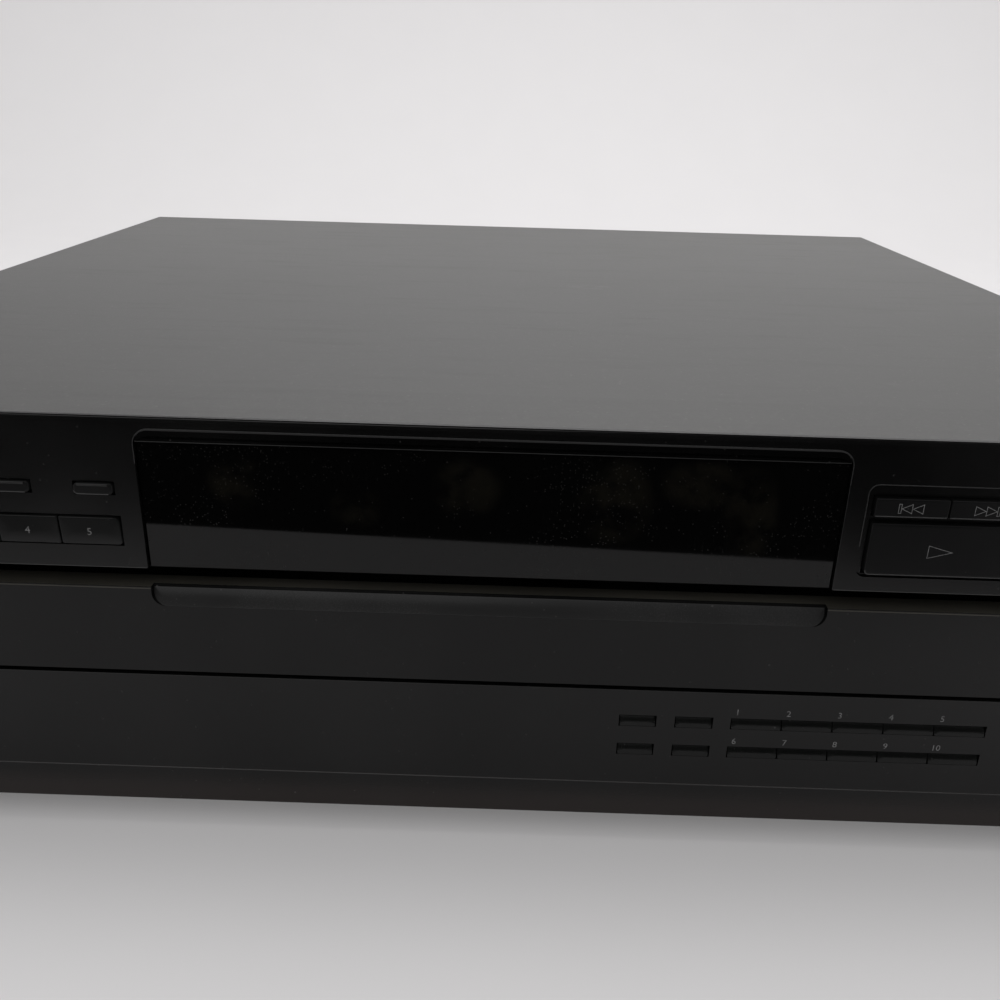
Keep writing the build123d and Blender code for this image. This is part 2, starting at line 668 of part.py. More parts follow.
def display_recess():
    """The space cut for the display window, with a sloped ledge above it."""
    recess_floor = RECESS_DEPTH + WINDOW_THICKNESS
    height = 2 * (RECESS_TOP - UPPER_BOTTOM)
    front_view = Pos(0, RECESS_TOP - height / 2) * RectangleRounded(
        2 * RECESS_HALF_WIDTH, height, RECESS_CORNER
    )
    ledge = [
        (-1, UPPER_BOTTOM - 1),
        (RECESS_DEPTH, UPPER_BOTTOM - 1),
        (RECESS_DEPTH, WINDOW_TOP),
        (0, RECESS_TOP),
        (-1, RECESS_TOP),
    ]
    recess = prism_x(ledge, wide(RECESS_HALF_WIDTH)) & prism_y(front_view, (-1, recess_floor))
    seat = block(
        wide(RECESS_HALF_WIDTH), (-1, recess_floor), (UPPER_BOTTOM - 1, WINDOW_TOP)
    )
    return recess + seat


def make_display_window():
    """The tinted window that fills the recess's seat."""
    return block(
        wide(RECESS_HALF_WIDTH - GAP / 2),
        (RECESS_DEPTH, RECESS_DEPTH + WINDOW_THICKNESS),
        (UPPER_BOTTOM, WINDOW_TOP - GAP / 2),
    )


def make_feet():
    """Four round feet with softer pads."""
    feet = []
    for x in (-FOOT_X, FOOT_X):
        for y in (FOOT_INSET_FRONT, DEPTH - FOOT_INSET_REAR):
            foot = post(x, y, FOOT_RADIUS, (FOOT_PAD_HEIGHT, FOOT_HEIGHT))
            foot = chamfer(foot.edges().filter_by(GeomType.CIRCLE).group_by(Axis.Z)[0], FOOT_PAD_HEIGHT)
            foot += post(x, y, FOOT_PAD_RADIUS, (0, FOOT_PAD_HEIGHT + 1))
            foot -= post(x, y, SCREW_HEAD, (-1, FOOT_HEIGHT / 2))
            feet.append(foot)
    return feet


def make_cover_screws():
    """The screws that hold the cover, at both sides and along the rear."""
    screws = []
    for side in (-1, 1):
        for y in SIDE_SCREW_Y:
            outside = side * WIDTH / 2
            head_x = sorted((outside, outside + side * SCREW_HEAD_HEIGHT))
            shank_x = sorted((outside - side * SCREW_LENGTH, outside + side * 0.5))
            head = bar_x(y, SIDE_SCREW_Z, SCREW_HEAD, head_x)
            screws.append(head + bar_x(y, SIDE_SCREW_Z, SCREW_SHANK, shank_x))
    for x in REAR_SCREW_X:
        head = bar_y(x, REAR_SCREW_Z, SCREW_HEAD, (DEPTH, DEPTH + SCREW_HEAD_HEIGHT))
        shank = bar_y(x, REAR_SCREW_Z, SCREW_SHANK, (DEPTH - SCREW_LENGTH, DEPTH + 0.5))
        screws.append(head + shank)
    return screws


def make_main_board():
    """The main circuit board with its chips, capacitors and heat sink, placed from the board's corners."""
    board = block(BOARD_X, BOARD_Y, (BOARD_BOTTOM, BOARD_TOP))
    base = BOARD_TOP - 0.5
    left, right = BOARD_X
    rear = BOARD_Y[1]
    for x, y, half_x, half_y in ((34, 222, 12, 12), (79, 192, 9, 9), (44, 157, 7, 14), (84, 262, 10, 5)):
        board += block(around(left + x, half_x), around(rear - y, half_y), (base, BOARD_TOP + 2.5))
    for x, y, radius, height in ((24, 104, 6, 18), (42, 104, 6, 18), (26, 84, 8, 22), (64, 122, 4, 10)):
        board += post(left + x, rear - y, radius, (base, BOARD_TOP + height))
    sink_y = around(rear - 90, 14)
    for fin in range(6):
        board += block(around(right - 34 + 4 * fin, 1.0), sink_y, (BOARD_TOP + 1, BOARD_TOP + 20))
    board += block((right - 36, right - 12), sink_y, (base, BOARD_TOP + 2))
    return board


def make_power_transformer():
    """The laminated core, its winding and its bracket."""
    middle_x = sum(TRANSFORMER_X) / 2
    middle_y = sum(TRANSFORMER_Y) / 2
    quarter = (TRANSFORMER_X[1] - TRANSFORMER_X[0]) / 4
    half_depth = (TRANSFORMER_Y[1] - TRANSFORMER_Y[0]) / 2
    bracket_top = PAN_FLOOR_TOP + TRANSFORMER_BRACKET
    core = block(TRANSFORMER_X, TRANSFORMER_Y, (bracket_top, TRANSFORMER_TOP))
    coil = block(
        around(middle_x, quarter),
        around(middle_y, half_depth + TRANSFORMER_COIL_PROUD),
        (bracket_top + 5, TRANSFORMER_TOP - 5),
    )
    coil = fillet(coil.edges().filter_by(Axis.Z), 4)
    bracket = block(around(middle_x, 38), around(middle_y, 17), (PAN_FLOOR_TOP, bracket_top + 0.5))
    return core + coil + bracket


def make_front_boards():
    """The upper and lower boards behind the front, with switches, level control and display tube."""
    y_range = (FRONT_BOARD_Y, FRONT_BOARD_Y + BOARD_SHEET)
    top = COVER_UNDER - GAP - COVER_CREASE_DROP - SHELF
    upper = block(wide(INNER_HALF_WIDTH - 2 * SHELF), y_range, (UPPER_BOTTOM + SHELF + GAP, top))
    lower_z = (FRONT_BOTTOM + SHELF + GAP, LOWER_TOP - SHELF - GAP)
    lower = block((KNOB_X - 12, INNER_HALF_WIDTH - 5 * SHELF), y_range, lower_z)
    tube_z = (WINDOW_PORT_BOTTOM + TUBE_MARGIN, WINDOW_PORT_TOP - TUBE_MARGIN)
    upper += block(wide(60.0), (FRONT_WALL + 1.5, FRONT_BOARD_Y + 0.5), tube_z)
    for key in KEYS.values():
        x = sum(key.x) / 2
        z = sum(key.z) / 2
        switch = block(around(x, 2.8), (SWITCH_TIP + SWITCH_PLUNGER, FRONT_BOARD_Y + 0.5), around(z, 1.5))
        switch += bar_y(x, z, 0.9, (SWITCH_TIP, SWITCH_TIP + SWITCH_PLUNGER + 0.2))
        if z > LOWER_TOP:
            upper += switch
        else:
            lower += switch
    pot_front = FRONT_BOARD_Y - POT_DEPTH
    half = POT_BODY / 2
    lower += block(around(KNOB_X, half), (pot_front, FRONT_BOARD_Y + 0.5), around(SOCKET_Z, half))
    lower -= bar_y(KNOB_X, SOCKET_Z, KNOB_SHAFT + RUNNING, (pot_front - 1, FRONT_BOARD_Y))
    return [upper, lower]


def make_output_jacks():
    """The stereo line sockets and the optical outlet."""
    housing_x = (LINE_OUT_X[0] - LINE_OUT_HOUSING_MARGIN, LINE_OUT_X[1] + LINE_OUT_HOUSING_MARGIN)
    housing_y = (REAR_INSIDE - LINE_OUT_HOUSING_DEPTH, REAR_INSIDE)
    jacks = block(housing_x, housing_y, (BOARD_TOP, LINE_OUT_HOUSING_TOP))
    end = REAR_OUTSIDE + LINE_OUT_PROUD
    collar_y = (REAR_INSIDE - 1, REAR_OUTSIDE + LINE_OUT_COLLAR_PROUD)
    for x in LINE_OUT_X:
        jacks += bar_y(x, LINE_OUT_Z, LINE_OUT_COLLAR, collar_y)
        jacks += bar_y(x, LINE_OUT_Z, LINE_OUT_SHELL, (REAR_INSIDE - 1, end))
    for x in LINE_OUT_X:
        jacks -= bar_y(x, LINE_OUT_Z, LINE_OUT_PIN_BORE, (REAR_INSIDE - 6, end + 1))
    optical = block(OPTICAL_X, housing_y, (BOARD_TOP, OPTICAL_TOP))
    optical += block(
        OPTICAL_X, (REAR_INSIDE - 1, REAR_OUTSIDE + OPTICAL_PROUD), (OPTICAL_BOTTOM, OPTICAL_TOP)
    )
    return [jacks, optical]


def make_cord_gland():
    """The strain relief in the rear panel, empty."""
    gland = bar_y(GLAND_X, GLAND_Z, GLAND_NECK, (REAR_INSIDE - 1, REAR_OUTSIDE + 1))
    gland += bar_y(GLAND_X, GLAND_Z, GLAND_RIM, (REAR_OUTSIDE, REAR_OUTSIDE + GLAND_PROUD))
    gland += bar_y(GLAND_X, GLAND_Z, GLAND_RIM, (REAR_INSIDE - GLAND_PROUD, REAR_INSIDE))
    through = (REAR_INSIDE - 2 * GLAND_PROUD, REAR_OUTSIDE + 2 * GLAND_PROUD)
    return gland - bar_y(GLAND_X, GLAND_Z, GLAND_BORE, through)


def make_headphone_jack():
    """The headphone socket, seated behind the lower front."""
    half = SOCKET_BODY / 2
    body_end = SOCKET_BORE_DEPTH + FRONT_WALL
    jack = block(around(SOCKET_X, half), (FRONT_WALL, body_end), around(SOCKET_Z, half))
    jack += bar_y(SOCKET_X, SOCKET_Z, SOCKET_BUSH, (-SOCKET_RIM_PROUD / 2, FRONT_WALL + 1))
    jack += bar_y(SOCKET_X, SOCKET_Z, SOCKET_RIM, (-SOCKET_RIM_PROUD, 0))
    jack -= bar_y(SOCKET_X, SOCKET_Z, SOCKET_BORE, (-1, SOCKET_BORE_DEPTH))
    return jack


def make_level_knob():
    """The level knob on its shaft."""
    knob = bar_y(KNOB_X, SOCKET_Z, KNOB_RADIUS, (-KNOB_PROUD, -2 * GAP))
    knob = fillet(knob.edges().filter_by(GeomType.CIRCLE).group_by(Axis.Y)[0], 0.8)
    knob += bar_y(KNOB_X, SOCKET_Z, KNOB_SHAFT, (-1, FRONT_BOARD_Y - GAP))
    return knob


def make_key(key):
    """One key: a rounded cap, a flange behind the wall and a stem."""
    cap = block(key.x, (-key.proud, KEY_FLANGE_Y + KEY_FLANGE_THICKNESS / 2), key.z)
    cap = fillet(cap.faces().sort_by(Axis.Y)[0].edges(), KEY_EDGE)
    z_low, z_high = key.z
    flange_y = (KEY_FLANGE_Y, KEY_FLANGE_Y + KEY_FLANGE_THICKNESS)
    flange = block(key.x, flange_y, (z_low - KEY_FLANGE, z_high + KEY_FLANGE))
    stem = bar_y(sum(key.x) / 2, sum(key.z) / 2, 1.2, (KEY_FLANGE_Y + 0.5, KEY_STEM_END))
    return cap + flange + stem


def make_mechanism_deck():
    """The deck: its plate, legs, drawer rails, bridge posts, hinge ears and lift channel."""
    deck = block(wide(DECK_HALF_WIDTH), (DECK_FRONT, DECK_REAR), DECK_Z)
    cut_out_y = (CHANNEL_Y[0] + CHANNEL_WALL, EAR_Y[0] - 0.5)
    deck -= block(wide(NOTCH_HALF_WIDTH + 2), cut_out_y, (DECK_Z[0] - 1, DECK_Z[1] + 1))
    web_z = (DECK_Z[0], RAIL_TOP)
    rail_y = (DECK_FRONT, DECK_REAR)
    side = block((RAIL_INNER, RAIL_OUTER), rail_y, web_z)
    lip_z = (TRAY_BOTTOM - GAP - RAIL_LIP, TRAY_BOTTOM - GAP)
    side += block((RAIL_INNER - RAIL_LIP_BOTTOM, RAIL_INNER + 1), rail_y, lip_z)
    side += block((RAIL_INNER - RAIL_LIP_TOP, RAIL_INNER + 1), rail_y, (TRAY_TOP + GAP, RAIL_TOP))
    post_y = around(SPINDLE_Y, BRIDGE_HALF_WIDTH - 5)
    side += block((RAIL_OUTER - 1, RAIL_OUTER + BRIDGE_POST), post_y, (DECK_Z[0], BRIDGE_Z))
    for y_range in (LEG_FRONT_Y, LEG_REAR_Y):
        side += block((RAIL_OUTER - 1, LEG_X[1]), y_range, DECK_Z)
        side += block(LEG_X, y_range, (PAN_FLOOR_TOP, DECK_Z[1]))
    ear = block(EAR_X, EAR_Y, (DECK_Z[0], EAR_TOP))
    ear -= bar_x(HINGE_Y, HINGE_Z, HINGE_PIN + RUNNING, (EAR_X[0] - 1, EAR_X[1] + 1))
    deck += both_sides(side)
    deck += both_sides(ear)
    deck += block(wide(CHANNEL_HALF_WIDTH), CHANNEL_Y, CHANNEL_Z)
    deck += block(
        wide(CHANNEL_HALF_WIDTH), (CHANNEL_Y[0], CHANNEL_Y[0] + CHANNEL_WALL), (CHANNEL_Z[0], DECK_Z[1])
    )
    groove_y = (SLIDE_Y[0] - GAP, SLIDE_Y[1] + GAP)
    deck -= block(wide(CHANNEL_HALF_WIDTH + 1), groove_y, (SLIDE_Z[0] - GAP, CHANNEL_Z[1] + 1))
    deck += post(LOADING_X, LOADING_Y, GEAR_PIN, (DECK_Z[0], TRAY_BOTTOM - 2 * GAP))
    deck -= post(LOADING_MOTOR_X, LOADING_Y, 3 * MOTOR_SHAFT, (DECK_Z[0] - 1, DECK_Z[1] + 1))
    return deck


def make_motor(x, y, radius, z_range):
    """A round motor with a bore that its shaft turns in."""
    low, high = z_range
    motor = post(x, y, radius, z_range)
    motor = fillet(motor.edges().filter_by(GeomType.CIRCLE).group_by(Axis.Z)[0], 1.0)
    return motor - post(x, y, MOTOR_SHAFT + RUNNING, (low + 1.5, high + 1))


def flanged_pulley(x, y, radius, z_range):
    """A pulley with a rim above and below its belt."""
    low, high = z_range
    pulley = post(x, y, radius, z_range)
    for rim in ((low, low + PULLEY_FLANGE_THICKNESS), (high - PULLEY_FLANGE_THICKNESS, high)):
        pulley += post(x, y, radius + PULLEY_FLANGE, rim)
    return pulley


def make_loading_gear():
    """The drawer's pinion and its belt wheel, one moulding on the deck's pin."""
    wheel_low, wheel_high = LOADING_WHEEL_Z
    wheel = flanged_pulley(LOADING_X, LOADING_Y, LOADING_WHEEL, LOADING_WHEEL_Z)
    half_tooth = 180 / LOADING_TEETH
    outline = Pos(LOADING_X, LOADING_Y) * gear_outline(LOADING_TEETH, 180 + half_tooth)
    wheel += prism_z(outline, (wheel_high - 0.5, TRAY_BOTTOM - 2 * GAP))
    return wheel - post(LOADING_X, LOADING_Y, GEAR_PIN + RUNNING, (wheel_low - 1, TRAY_BOTTOM))


def make_loading_pulley():
    """The loading motor's pulley and shaft."""
    pulley = flanged_pulley(LOADING_MOTOR_X, LOADING_Y, LOADING_MOTOR_PULLEY, LOADING_WHEEL_Z)
    shaft_z = (DECK_Z[0] - MOTOR_HEIGHT / 3, LOADING_WHEEL_Z[0] + 1)
    return pulley + post(LOADING_MOTOR_X, LOADING_Y, MOTOR_SHAFT, shaft_z)


def make_loading_belt():
    """The belt between the two pulleys."""
    wheel = (LOADING_X, LOADING_Y)
    motor = (LOADING_MOTOR_X, LOADING_Y)
    inner = [LOADING_WHEEL + GAP, LOADING_MOTOR_PULLEY + GAP]
    outer = [radius + BELT_THICKNESS for radius in inner]
    z_middle = sum(LOADING_WHEEL_Z) / 2
    z_range = around(z_middle, BELT_THICKNESS / 2)
    belt = prism_z(round_hull(wheel, outer[0], motor, outer[1]), z_range)
    hole_z = around(z_middle, BELT_THICKNESS)
    return belt - prism_z(round_hull(wheel, inner[0], motor, inner[1]), hole_z)


def table_gear_centre():
    """Where the gear beside the carousel's rim turns."""
    reach = RIM_RADIUS + TABLE_GEAR_TEETH * MODULE / 2
    x, y = polar(reach, TABLE_GEAR_DIRECTION)
    return (x, CAROUSEL_Y + y)


def table_pinion_centre():
    """Where the table motor's shaft stands."""
    reach = (TABLE_GEAR_TEETH + TABLE_PINION_TEETH) * MODULE / 2
    gear_x, gear_y = table_gear_centre()
    x, y = polar(reach, TABLE_PINION_DIRECTION)
    return (gear_x + x, gear_y + y)


def make_tray():
    """The sliding tray: floor, side walls, round drum for the carousel, hub, gear pin and rack."""
    depth = (DRAWER_THICKNESS, TRAY_REAR)
    tray = block(wide(TRAY_HALF_WIDTH), depth, (TRAY_BOTTOM, TRAY_TOP))
    hollow = block(
        wide(TRAY_HALF_WIDTH - TRAY_WALL),
        (DRAWER_THICKNESS + TRAY_WALL, TRAY_REAR - TRAY_WALL),
        (TRAY_FLOOR_TOP, TRAY_TOP - TRAY_DECK),
    )
    hollow -= post(0, CAROUSEL_Y, DRUM_OUTER, (TRAY_BOTTOM, TRAY_TOP))
    tray -= hollow
    tray -= post(0, CAROUSEL_Y, DRUM_RADIUS, (TRAY_FLOOR_TOP, TRAY_TOP + 1))
    gear_x, gear_y = table_gear_centre()
    window = TABLE_GEAR_TEETH * MODULE / 2 + TIP_HEIGHT + DRUM_CLEARANCE / 2
    tray -= post(gear_x, gear_y, window, (TRAY_FLOOR_TOP, TRAY_TOP - TRAY_DECK))
    tray += post(gear_x, gear_y, GEAR_PIN, (TRAY_BOTTOM, GEAR_TOP - GAP))
    tray += post(0, CAROUSEL_Y, HUB_PIN, (TRAY_BOTTOM, CAROUSEL_TOP - HUB_ROOF - GAP))
    rib_z = (TRAY_BOTTOM, CAROUSEL_BOTTOM - GAP)
    tray += post(0, CAROUSEL_Y, BEARING_RIB_RADIUS + BEARING_RIB_WALL, rib_z) - post(
        0, CAROUSEL_Y, BEARING_RIB_RADIUS, (TRAY_BOTTOM - 1, CAROUSEL_BOTTOM)
    )
    tray -= block(wide(NOTCH_HALF_WIDTH), (NOTCH_FRONT, TRAY_REAR + 1), (TRAY_BOTTOM - 1, TRAY_TOP + 1))
    margin = LOADING_TEETH * MODULE / 2
    rack = rack_outline(LOADING_Y, LOADING_Y - margin, LOADING_Y + TRAY_TRAVEL + margin)
    return tray + prism_z(rack, (RACK_BOTTOM, TRAY_BOTTOM + 0.5))


def make_drawer_front():
    """The drawer's face, hollow behind, with a finger scoop along the middle of its top."""
    front = block(wide(DRAWER_HALF_WIDTH), (0, DRAWER_THICKNESS), (DRAWER_BOTTOM, DRAWER_TOP))
    front -= block(
        wide(DRAWER_HALF_WIDTH - DRAWER_WALL),
        (DRAWER_WALL, DRAWER_THICKNESS + 1),
        (DRAWER_BOTTOM + DRAWER_WALL, DRAWER_TOP - DRAWER_WALL),
    )
    step_y = (DRAWER_STEP_Y, DRAWER_THICKNESS + 1)
    front -= block(wide(DRAWER_HALF_WIDTH + 1), step_y, (DRAWER_TOP - DRAWER_STEP_DROP, HEIGHT))
    slope = SCOOP_DEPTH / (DRAWER_TOP - SCOOP_BOTTOM)
    wedge = [
        (-1, SCOOP_BOTTOM),
        (0, SCOOP_BOTTOM),
        (SCOOP_DEPTH + slope, DRAWER_TOP + 1),
        (-1, DRAWER_TOP + 1),
    ]
    height = 4 * (DRAWER_TOP - SCOOP_BOTTOM)
    view = Pos(0, SCOOP_BOTTOM + height / 2) * RectangleRounded(2 * SCOOP_HALF_WIDTH, height, SCOOP_CORNER)
    return front - (prism_x(wedge, wide(SCOOP_HALF_WIDTH)) & prism_y(view, (-2, DRAWER_THICKNESS)))


def make_carousel():
    """The turntable: five stepped wells, each with a slot to its middle, and teeth round the rim."""
    outline = Pos(0, CAROUSEL_Y) * gear_outline(RIM_TEETH, TABLE_GEAR_DIRECTION)
    carousel = prism_z(outline, (CAROUSEL_BOTTOM, CAROUSEL_TOP))
    well_floor = CAROUSEL_TOP - WELL_DEPTH
    for number in range(WELL_COUNT):
        turn = Pos(0, CAROUSEL_Y, 0) * Rot(0, 0, 360 * number / WELL_COUNT)
        well = post(0, WELL_CIRCLE, WELL_RADIUS, (well_floor, CAROUSEL_TOP + 1))
        well += post(0, WELL_CIRCLE, SMALL_DISC_RADIUS, (well_floor - SMALL_DISC_DEPTH, CAROUSEL_TOP + 1))
        through = (CAROUSEL_BOTTOM - 1, CAROUSEL_TOP + 1)
        well += post(0, WELL_CIRCLE, SLOT_HALF_WIDTH, through)
        well += block(wide(SLOT_HALF_WIDTH), (SLOT_INNER, WELL_CIRCLE), through)
        carousel -= turn * well
    carousel += post(0, CAROUSEL_Y, HUB_COLLAR, (TRAY_FLOOR_TOP + 3 * GAP, CAROUSEL_BOTTOM + 1))
    return carousel - post(0, CAROUSEL_Y, HUB_PIN + RUNNING, (TRAY_FLOOR_TOP, CAROUSEL_TOP - HUB_ROOF))


def make_table_gear():
    """The gear between the table motor and the carousel's rim."""
    x, y = table_gear_centre()
    gap_angle = TABLE_GEAR_DIRECTION - 180
    outline = Pos(x, y) * gear_outline(TABLE_GEAR_TEETH, gap_angle + 180 / TABLE_GEAR_TEETH)
    gear = prism_z(outline, (GEAR_BOTTOM, GEAR_TOP))
    gear += post(x, y, GEAR_BOSS, (TRAY_FLOOR_TOP + GAP, GEAR_BOTTOM + 1))
    return gear - post(x, y, GEAR_PIN + RUNNING, (TRAY_FLOOR_TOP, GEAR_TOP + 1))


def make_table_pinion():
    """The table motor's pinion and shaft."""
    x, y = table_pinion_centre()
    gap_angle = TABLE_PINION_DIRECTION - 180
    outline = Pos(x, y) * gear_outline(TABLE_PINION_TEETH, gap_angle + 180 / TABLE_PINION_TEETH)
    pinion = prism_z(outline, (GEAR_BOTTOM, GEAR_TOP))
    return pinion + post(x, y, MOTOR_SHAFT, (TRAY_FLOOR_TOP + 2, GEAR_BOTTOM + 1))


def lowered(shape):
    """A piece of the base unit, swung down about the rear hinge to its resting place."""
    return shape.rotate(Axis((0, HINGE_Y, HINGE_Z), (1, 0, 0)), LIFT_ANGLE)


def make_base_unit():
    """The optical base: frame, guide rods, spindle motor, hinge pins and lift pin."""
    base = block(wide(BASE_HALF_WIDTH), (BASE_FRONT, BASE_REAR), BASE_Z)
    base = fillet(base.edges().filter_by(Axis.Z), 4)
    base -= block(wide(BASE_OPENING_HALF_WIDTH), BASE_OPENING_Y, (BASE_Z[0] - 1, BASE_Z[1] + 1))
    for x in (-ROD_X, ROD_X):
        base += bar_y(x, HINGE_Z, ROD_RADIUS, (BASE_OPENING_Y[0] - 2, BASE_OPENING_Y[1] + 2))
    base += post(0, SPINDLE_Y, SPINDLE_MOTOR, (SPINDLE_MOTOR_BOTTOM, BASE_Z[0] + 1))
    base -= post(0, SPINDLE_Y, SPINDLE_SHAFT + RUNNING, (SPINDLE_MOTOR_BOTTOM + 0.8, BASE_Z[1] + 1))
    base += both_sides(bar_x(HINGE_Y, HINGE_Z, HINGE_PIN, (BASE_HALF_WIDTH - 1, EAR_X[1] + GAP)))
    tab_y = (BASE_FRONT, BASE_FRONT + LIFT_TAB_THICKNESS)
    base += block(wide(LIFT_TAB_HALF_WIDTH), tab_y, (LIFT_TAB_BOTTOM, BASE_Z[0] + 1))
    base += bar_y(0, LIFT_PIN_Z, LIFT_PIN, (BASE_FRONT - LIFT_PIN_LENGTH, BASE_FRONT + 1))
    return lowered(base)


def make_spindle_platter():
    """The platter that carries a disc, with its centring boss and shaft."""
    platter = post(0, SPINDLE_Y, PLATTER_RADIUS, PLATTER_Z)
    boss = post(0, SPINDLE_Y, PLATTER_BOSS, (PLATTER_Z[1] - 1, PLATTER_BOSS_TOP))
    boss = chamfer(boss.edges().filter_by(GeomType.CIRCLE).group_by(Axis.Z)[-1], 1.0)
    platter += boss
    platter += post(0, SPINDLE_Y, PLATTER_STEM, (BASE_Z[1] + GAP, PLATTER_Z[0] + 1))
    platter += post(0, SPINDLE_Y, SPINDLE_SHAFT, (SPINDLE_MOTOR_BOTTOM + 1.1, BASE_Z[1] + 1))
    return lowered(platter)


def make_optical_sled():
    """The sled on its rods, with the lens on top."""
    y_range = around(LENS_Y, SLED_HALF_LENGTH)
    sled = block(wide(SLED_HALF_WIDTH), y_range, SLED_Z)
    for x in (-ROD_X, ROD_X):
        sled -= bar_y(x, HINGE_Z, ROD_RADIUS + ROD_CLEARANCE, around(LENS_Y, SLED_HALF_LENGTH + 1))
    sled += block(wide(TOWER_HALF_WIDTH), around(LENS_Y, TOWER_HALF_LENGTH), (SLED_Z[1] - 1, TOWER_TOP))
    sled += post(0, LENS_Y, LENS_RADIUS, (TOWER_TOP - 0.5, TOWER_TOP + LENS_HEIGHT))
    return lowered(sled)


def lift_pin_height(angle):
    """The lift pin's height at the slide's plate, with the base unit lowered by an angle in degrees."""
    turn = radians(angle)
    drop = LIFT_PIN_Z - HINGE_Z
    plate = sum(SLIDE_Y) / 2 - HINGE_Y
    along = (plate + drop * sin(turn)) / cos(turn)
    return HINGE_Z + along * sin(turn) + drop * cos(turn)


def make_lift_slide():
    """The cam plate whose sloping slot carries the base unit's lift pin."""
    low = lift_pin_height(LIFT_ANGLE)
    rise = LIFT_PIN_Z - low
    half_slot = LIFT_PIN + SLIDE_SLOT_CLEARANCE
    x_range = (-rise - half_slot - SLIDE_MARGIN, half_slot + SLIDE_MARGIN)
    plate = block(x_range, SLIDE_Y, SLIDE_Z)
    slot = round_hull((0, low), half_slot, (-rise, LIFT_PIN_Z), half_slot)
    return plate - prism_y(slot, (SLIDE_Y[0] - 1, SLIDE_Y[1] + 1))


def make_clamp_bridge():
    """The pressed strip that holds the clamp over the playing place."""
    x_range = wide(RAIL_OUTER + BRIDGE_POST)
    y_range = around(SPINDLE_Y, BRIDGE_HALF_WIDTH)
    bridge = block(x_range, y_range, (BRIDGE_Z, BRIDGE_Z + BRIDGE_SHEET))
    for y in (y_range[0], y_range[1] - BRIDGE_SHEET):
        bridge += block(x_range, (y, y + BRIDGE_SHEET), (BRIDGE_Z, BRIDGE_Z + BRIDGE_FLANGE))
    return bridge - post(0, SPINDLE_Y, BRIDGE_HOLE, (BRIDGE_Z - 1, BRIDGE_Z + BRIDGE_FLANGE))


def make_clamp_disc():
    """The magnetic clamp, hanging in the bridge's hole by its cap."""
    cap_bottom = BRIDGE_Z + BRIDGE_SHEET + GAP
    clamp = post(0, SPINDLE_Y, CLAMP_RADIUS, (CLAMP_BOTTOM, CLAMP_DISC_TOP))
    clamp += post(0, SPINDLE_Y, CLAMP_NECK, (CLAMP_DISC_TOP - 1, cap_bottom + 1))
    clamp += post(0, SPINDLE_Y, CLAMP_CAP, (cap_bottom, cap_bottom + CLAMP_CAP_THICKNESS))
    return clamp - post(0, SPINDLE_Y, CLAMP_RECESS, (CLAMP_BOTTOM - 1, CLAMP_BOTTOM + CLAMP_RECESS_DEPTH))


def save(name, shape):
    """Writes one piece, or a group of like pieces, in the part's own frame."""
    moved = Pos(0, CENTRE_SHIFT, 0)
    if isinstance(shape, list):
        placed = Compound(children=[moved * piece for piece in shape])
    else:
        placed = moved * shape
    export_step(placed, f"parts/{name}.step")


def main():
    """Builds every piece and writes it."""
    os.makedirs("parts", exist_ok=True)
    table_x, table_y = table_pinion_centre()
    pieces = {
        "chassis_base": make_chassis_base(),
        "rear_panel": make_rear_panel(),
        "top_cover": make_top_cover(),
        "front_panel": make_front_panel(),
        "display_window": make_display_window(),
        "feet": make_feet(),
        "cover_screws": make_cover_screws(),
        "main_board": make_main_board(),
        "power_transformer": make_power_transformer(),
        "front_boards": make_front_boards(),
        "output_jacks": make_output_jacks(),
        "cord_gland": make_cord_gland(),
        "headphone_jack": make_headphone_jack(),
        "level_knob": make_level_knob(),
        "mechanism_deck": make_mechanism_deck(),
        "loading_motor": make_motor(
            LOADING_MOTOR_X, LOADING_Y, MOTOR_RADIUS, (DECK_Z[0] - MOTOR_HEIGHT, DECK_Z[0])
        ),
        "loading_pulley": make_loading_pulley(),
        "loading_belt": make_loading_belt(),
        "loading_gear": make_loading_gear(),
        "tray": make_tray(),
        "drawer_front": make_drawer_front(),
        "carousel": make_carousel(),
        "table_motor": make_motor(
            table_x, table_y, MOTOR_RADIUS, (TRAY_FLOOR_TOP, TRAY_FLOOR_TOP + TABLE_MOTOR_HEIGHT)
        ),
        "table_pinion": make_table_pinion(),
        "table_gear": make_table_gear(),
        "base_unit": make_base_unit(),
        "spindle_platter": make_spindle_platter(),
        "optical_sled": make_optical_sled(),
        "lift_slide": make_lift_slide(),
        "clamp_bridge": make_clamp_bridge(),
        "clamp_disc": make_clamp_disc(),
    }
    for name, key in KEYS.items():
        pieces[name] = make_key(key)
    for name, shape in pieces.items():
        save(name, shape)


if __name__ == "__main__":
    main()
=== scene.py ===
"""A full-width carousel disc changer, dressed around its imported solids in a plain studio.

Lengths are in millimetres, but in metres inside a shader and in the studio.
"""

from __future__ import annotations

import json
import logging
import math
from collections.abc import Callable
from dataclasses import dataclass, field, replace
from enum import Enum

import bmesh
import bpy
import numpy as np
from mathutils import Matrix, Vector

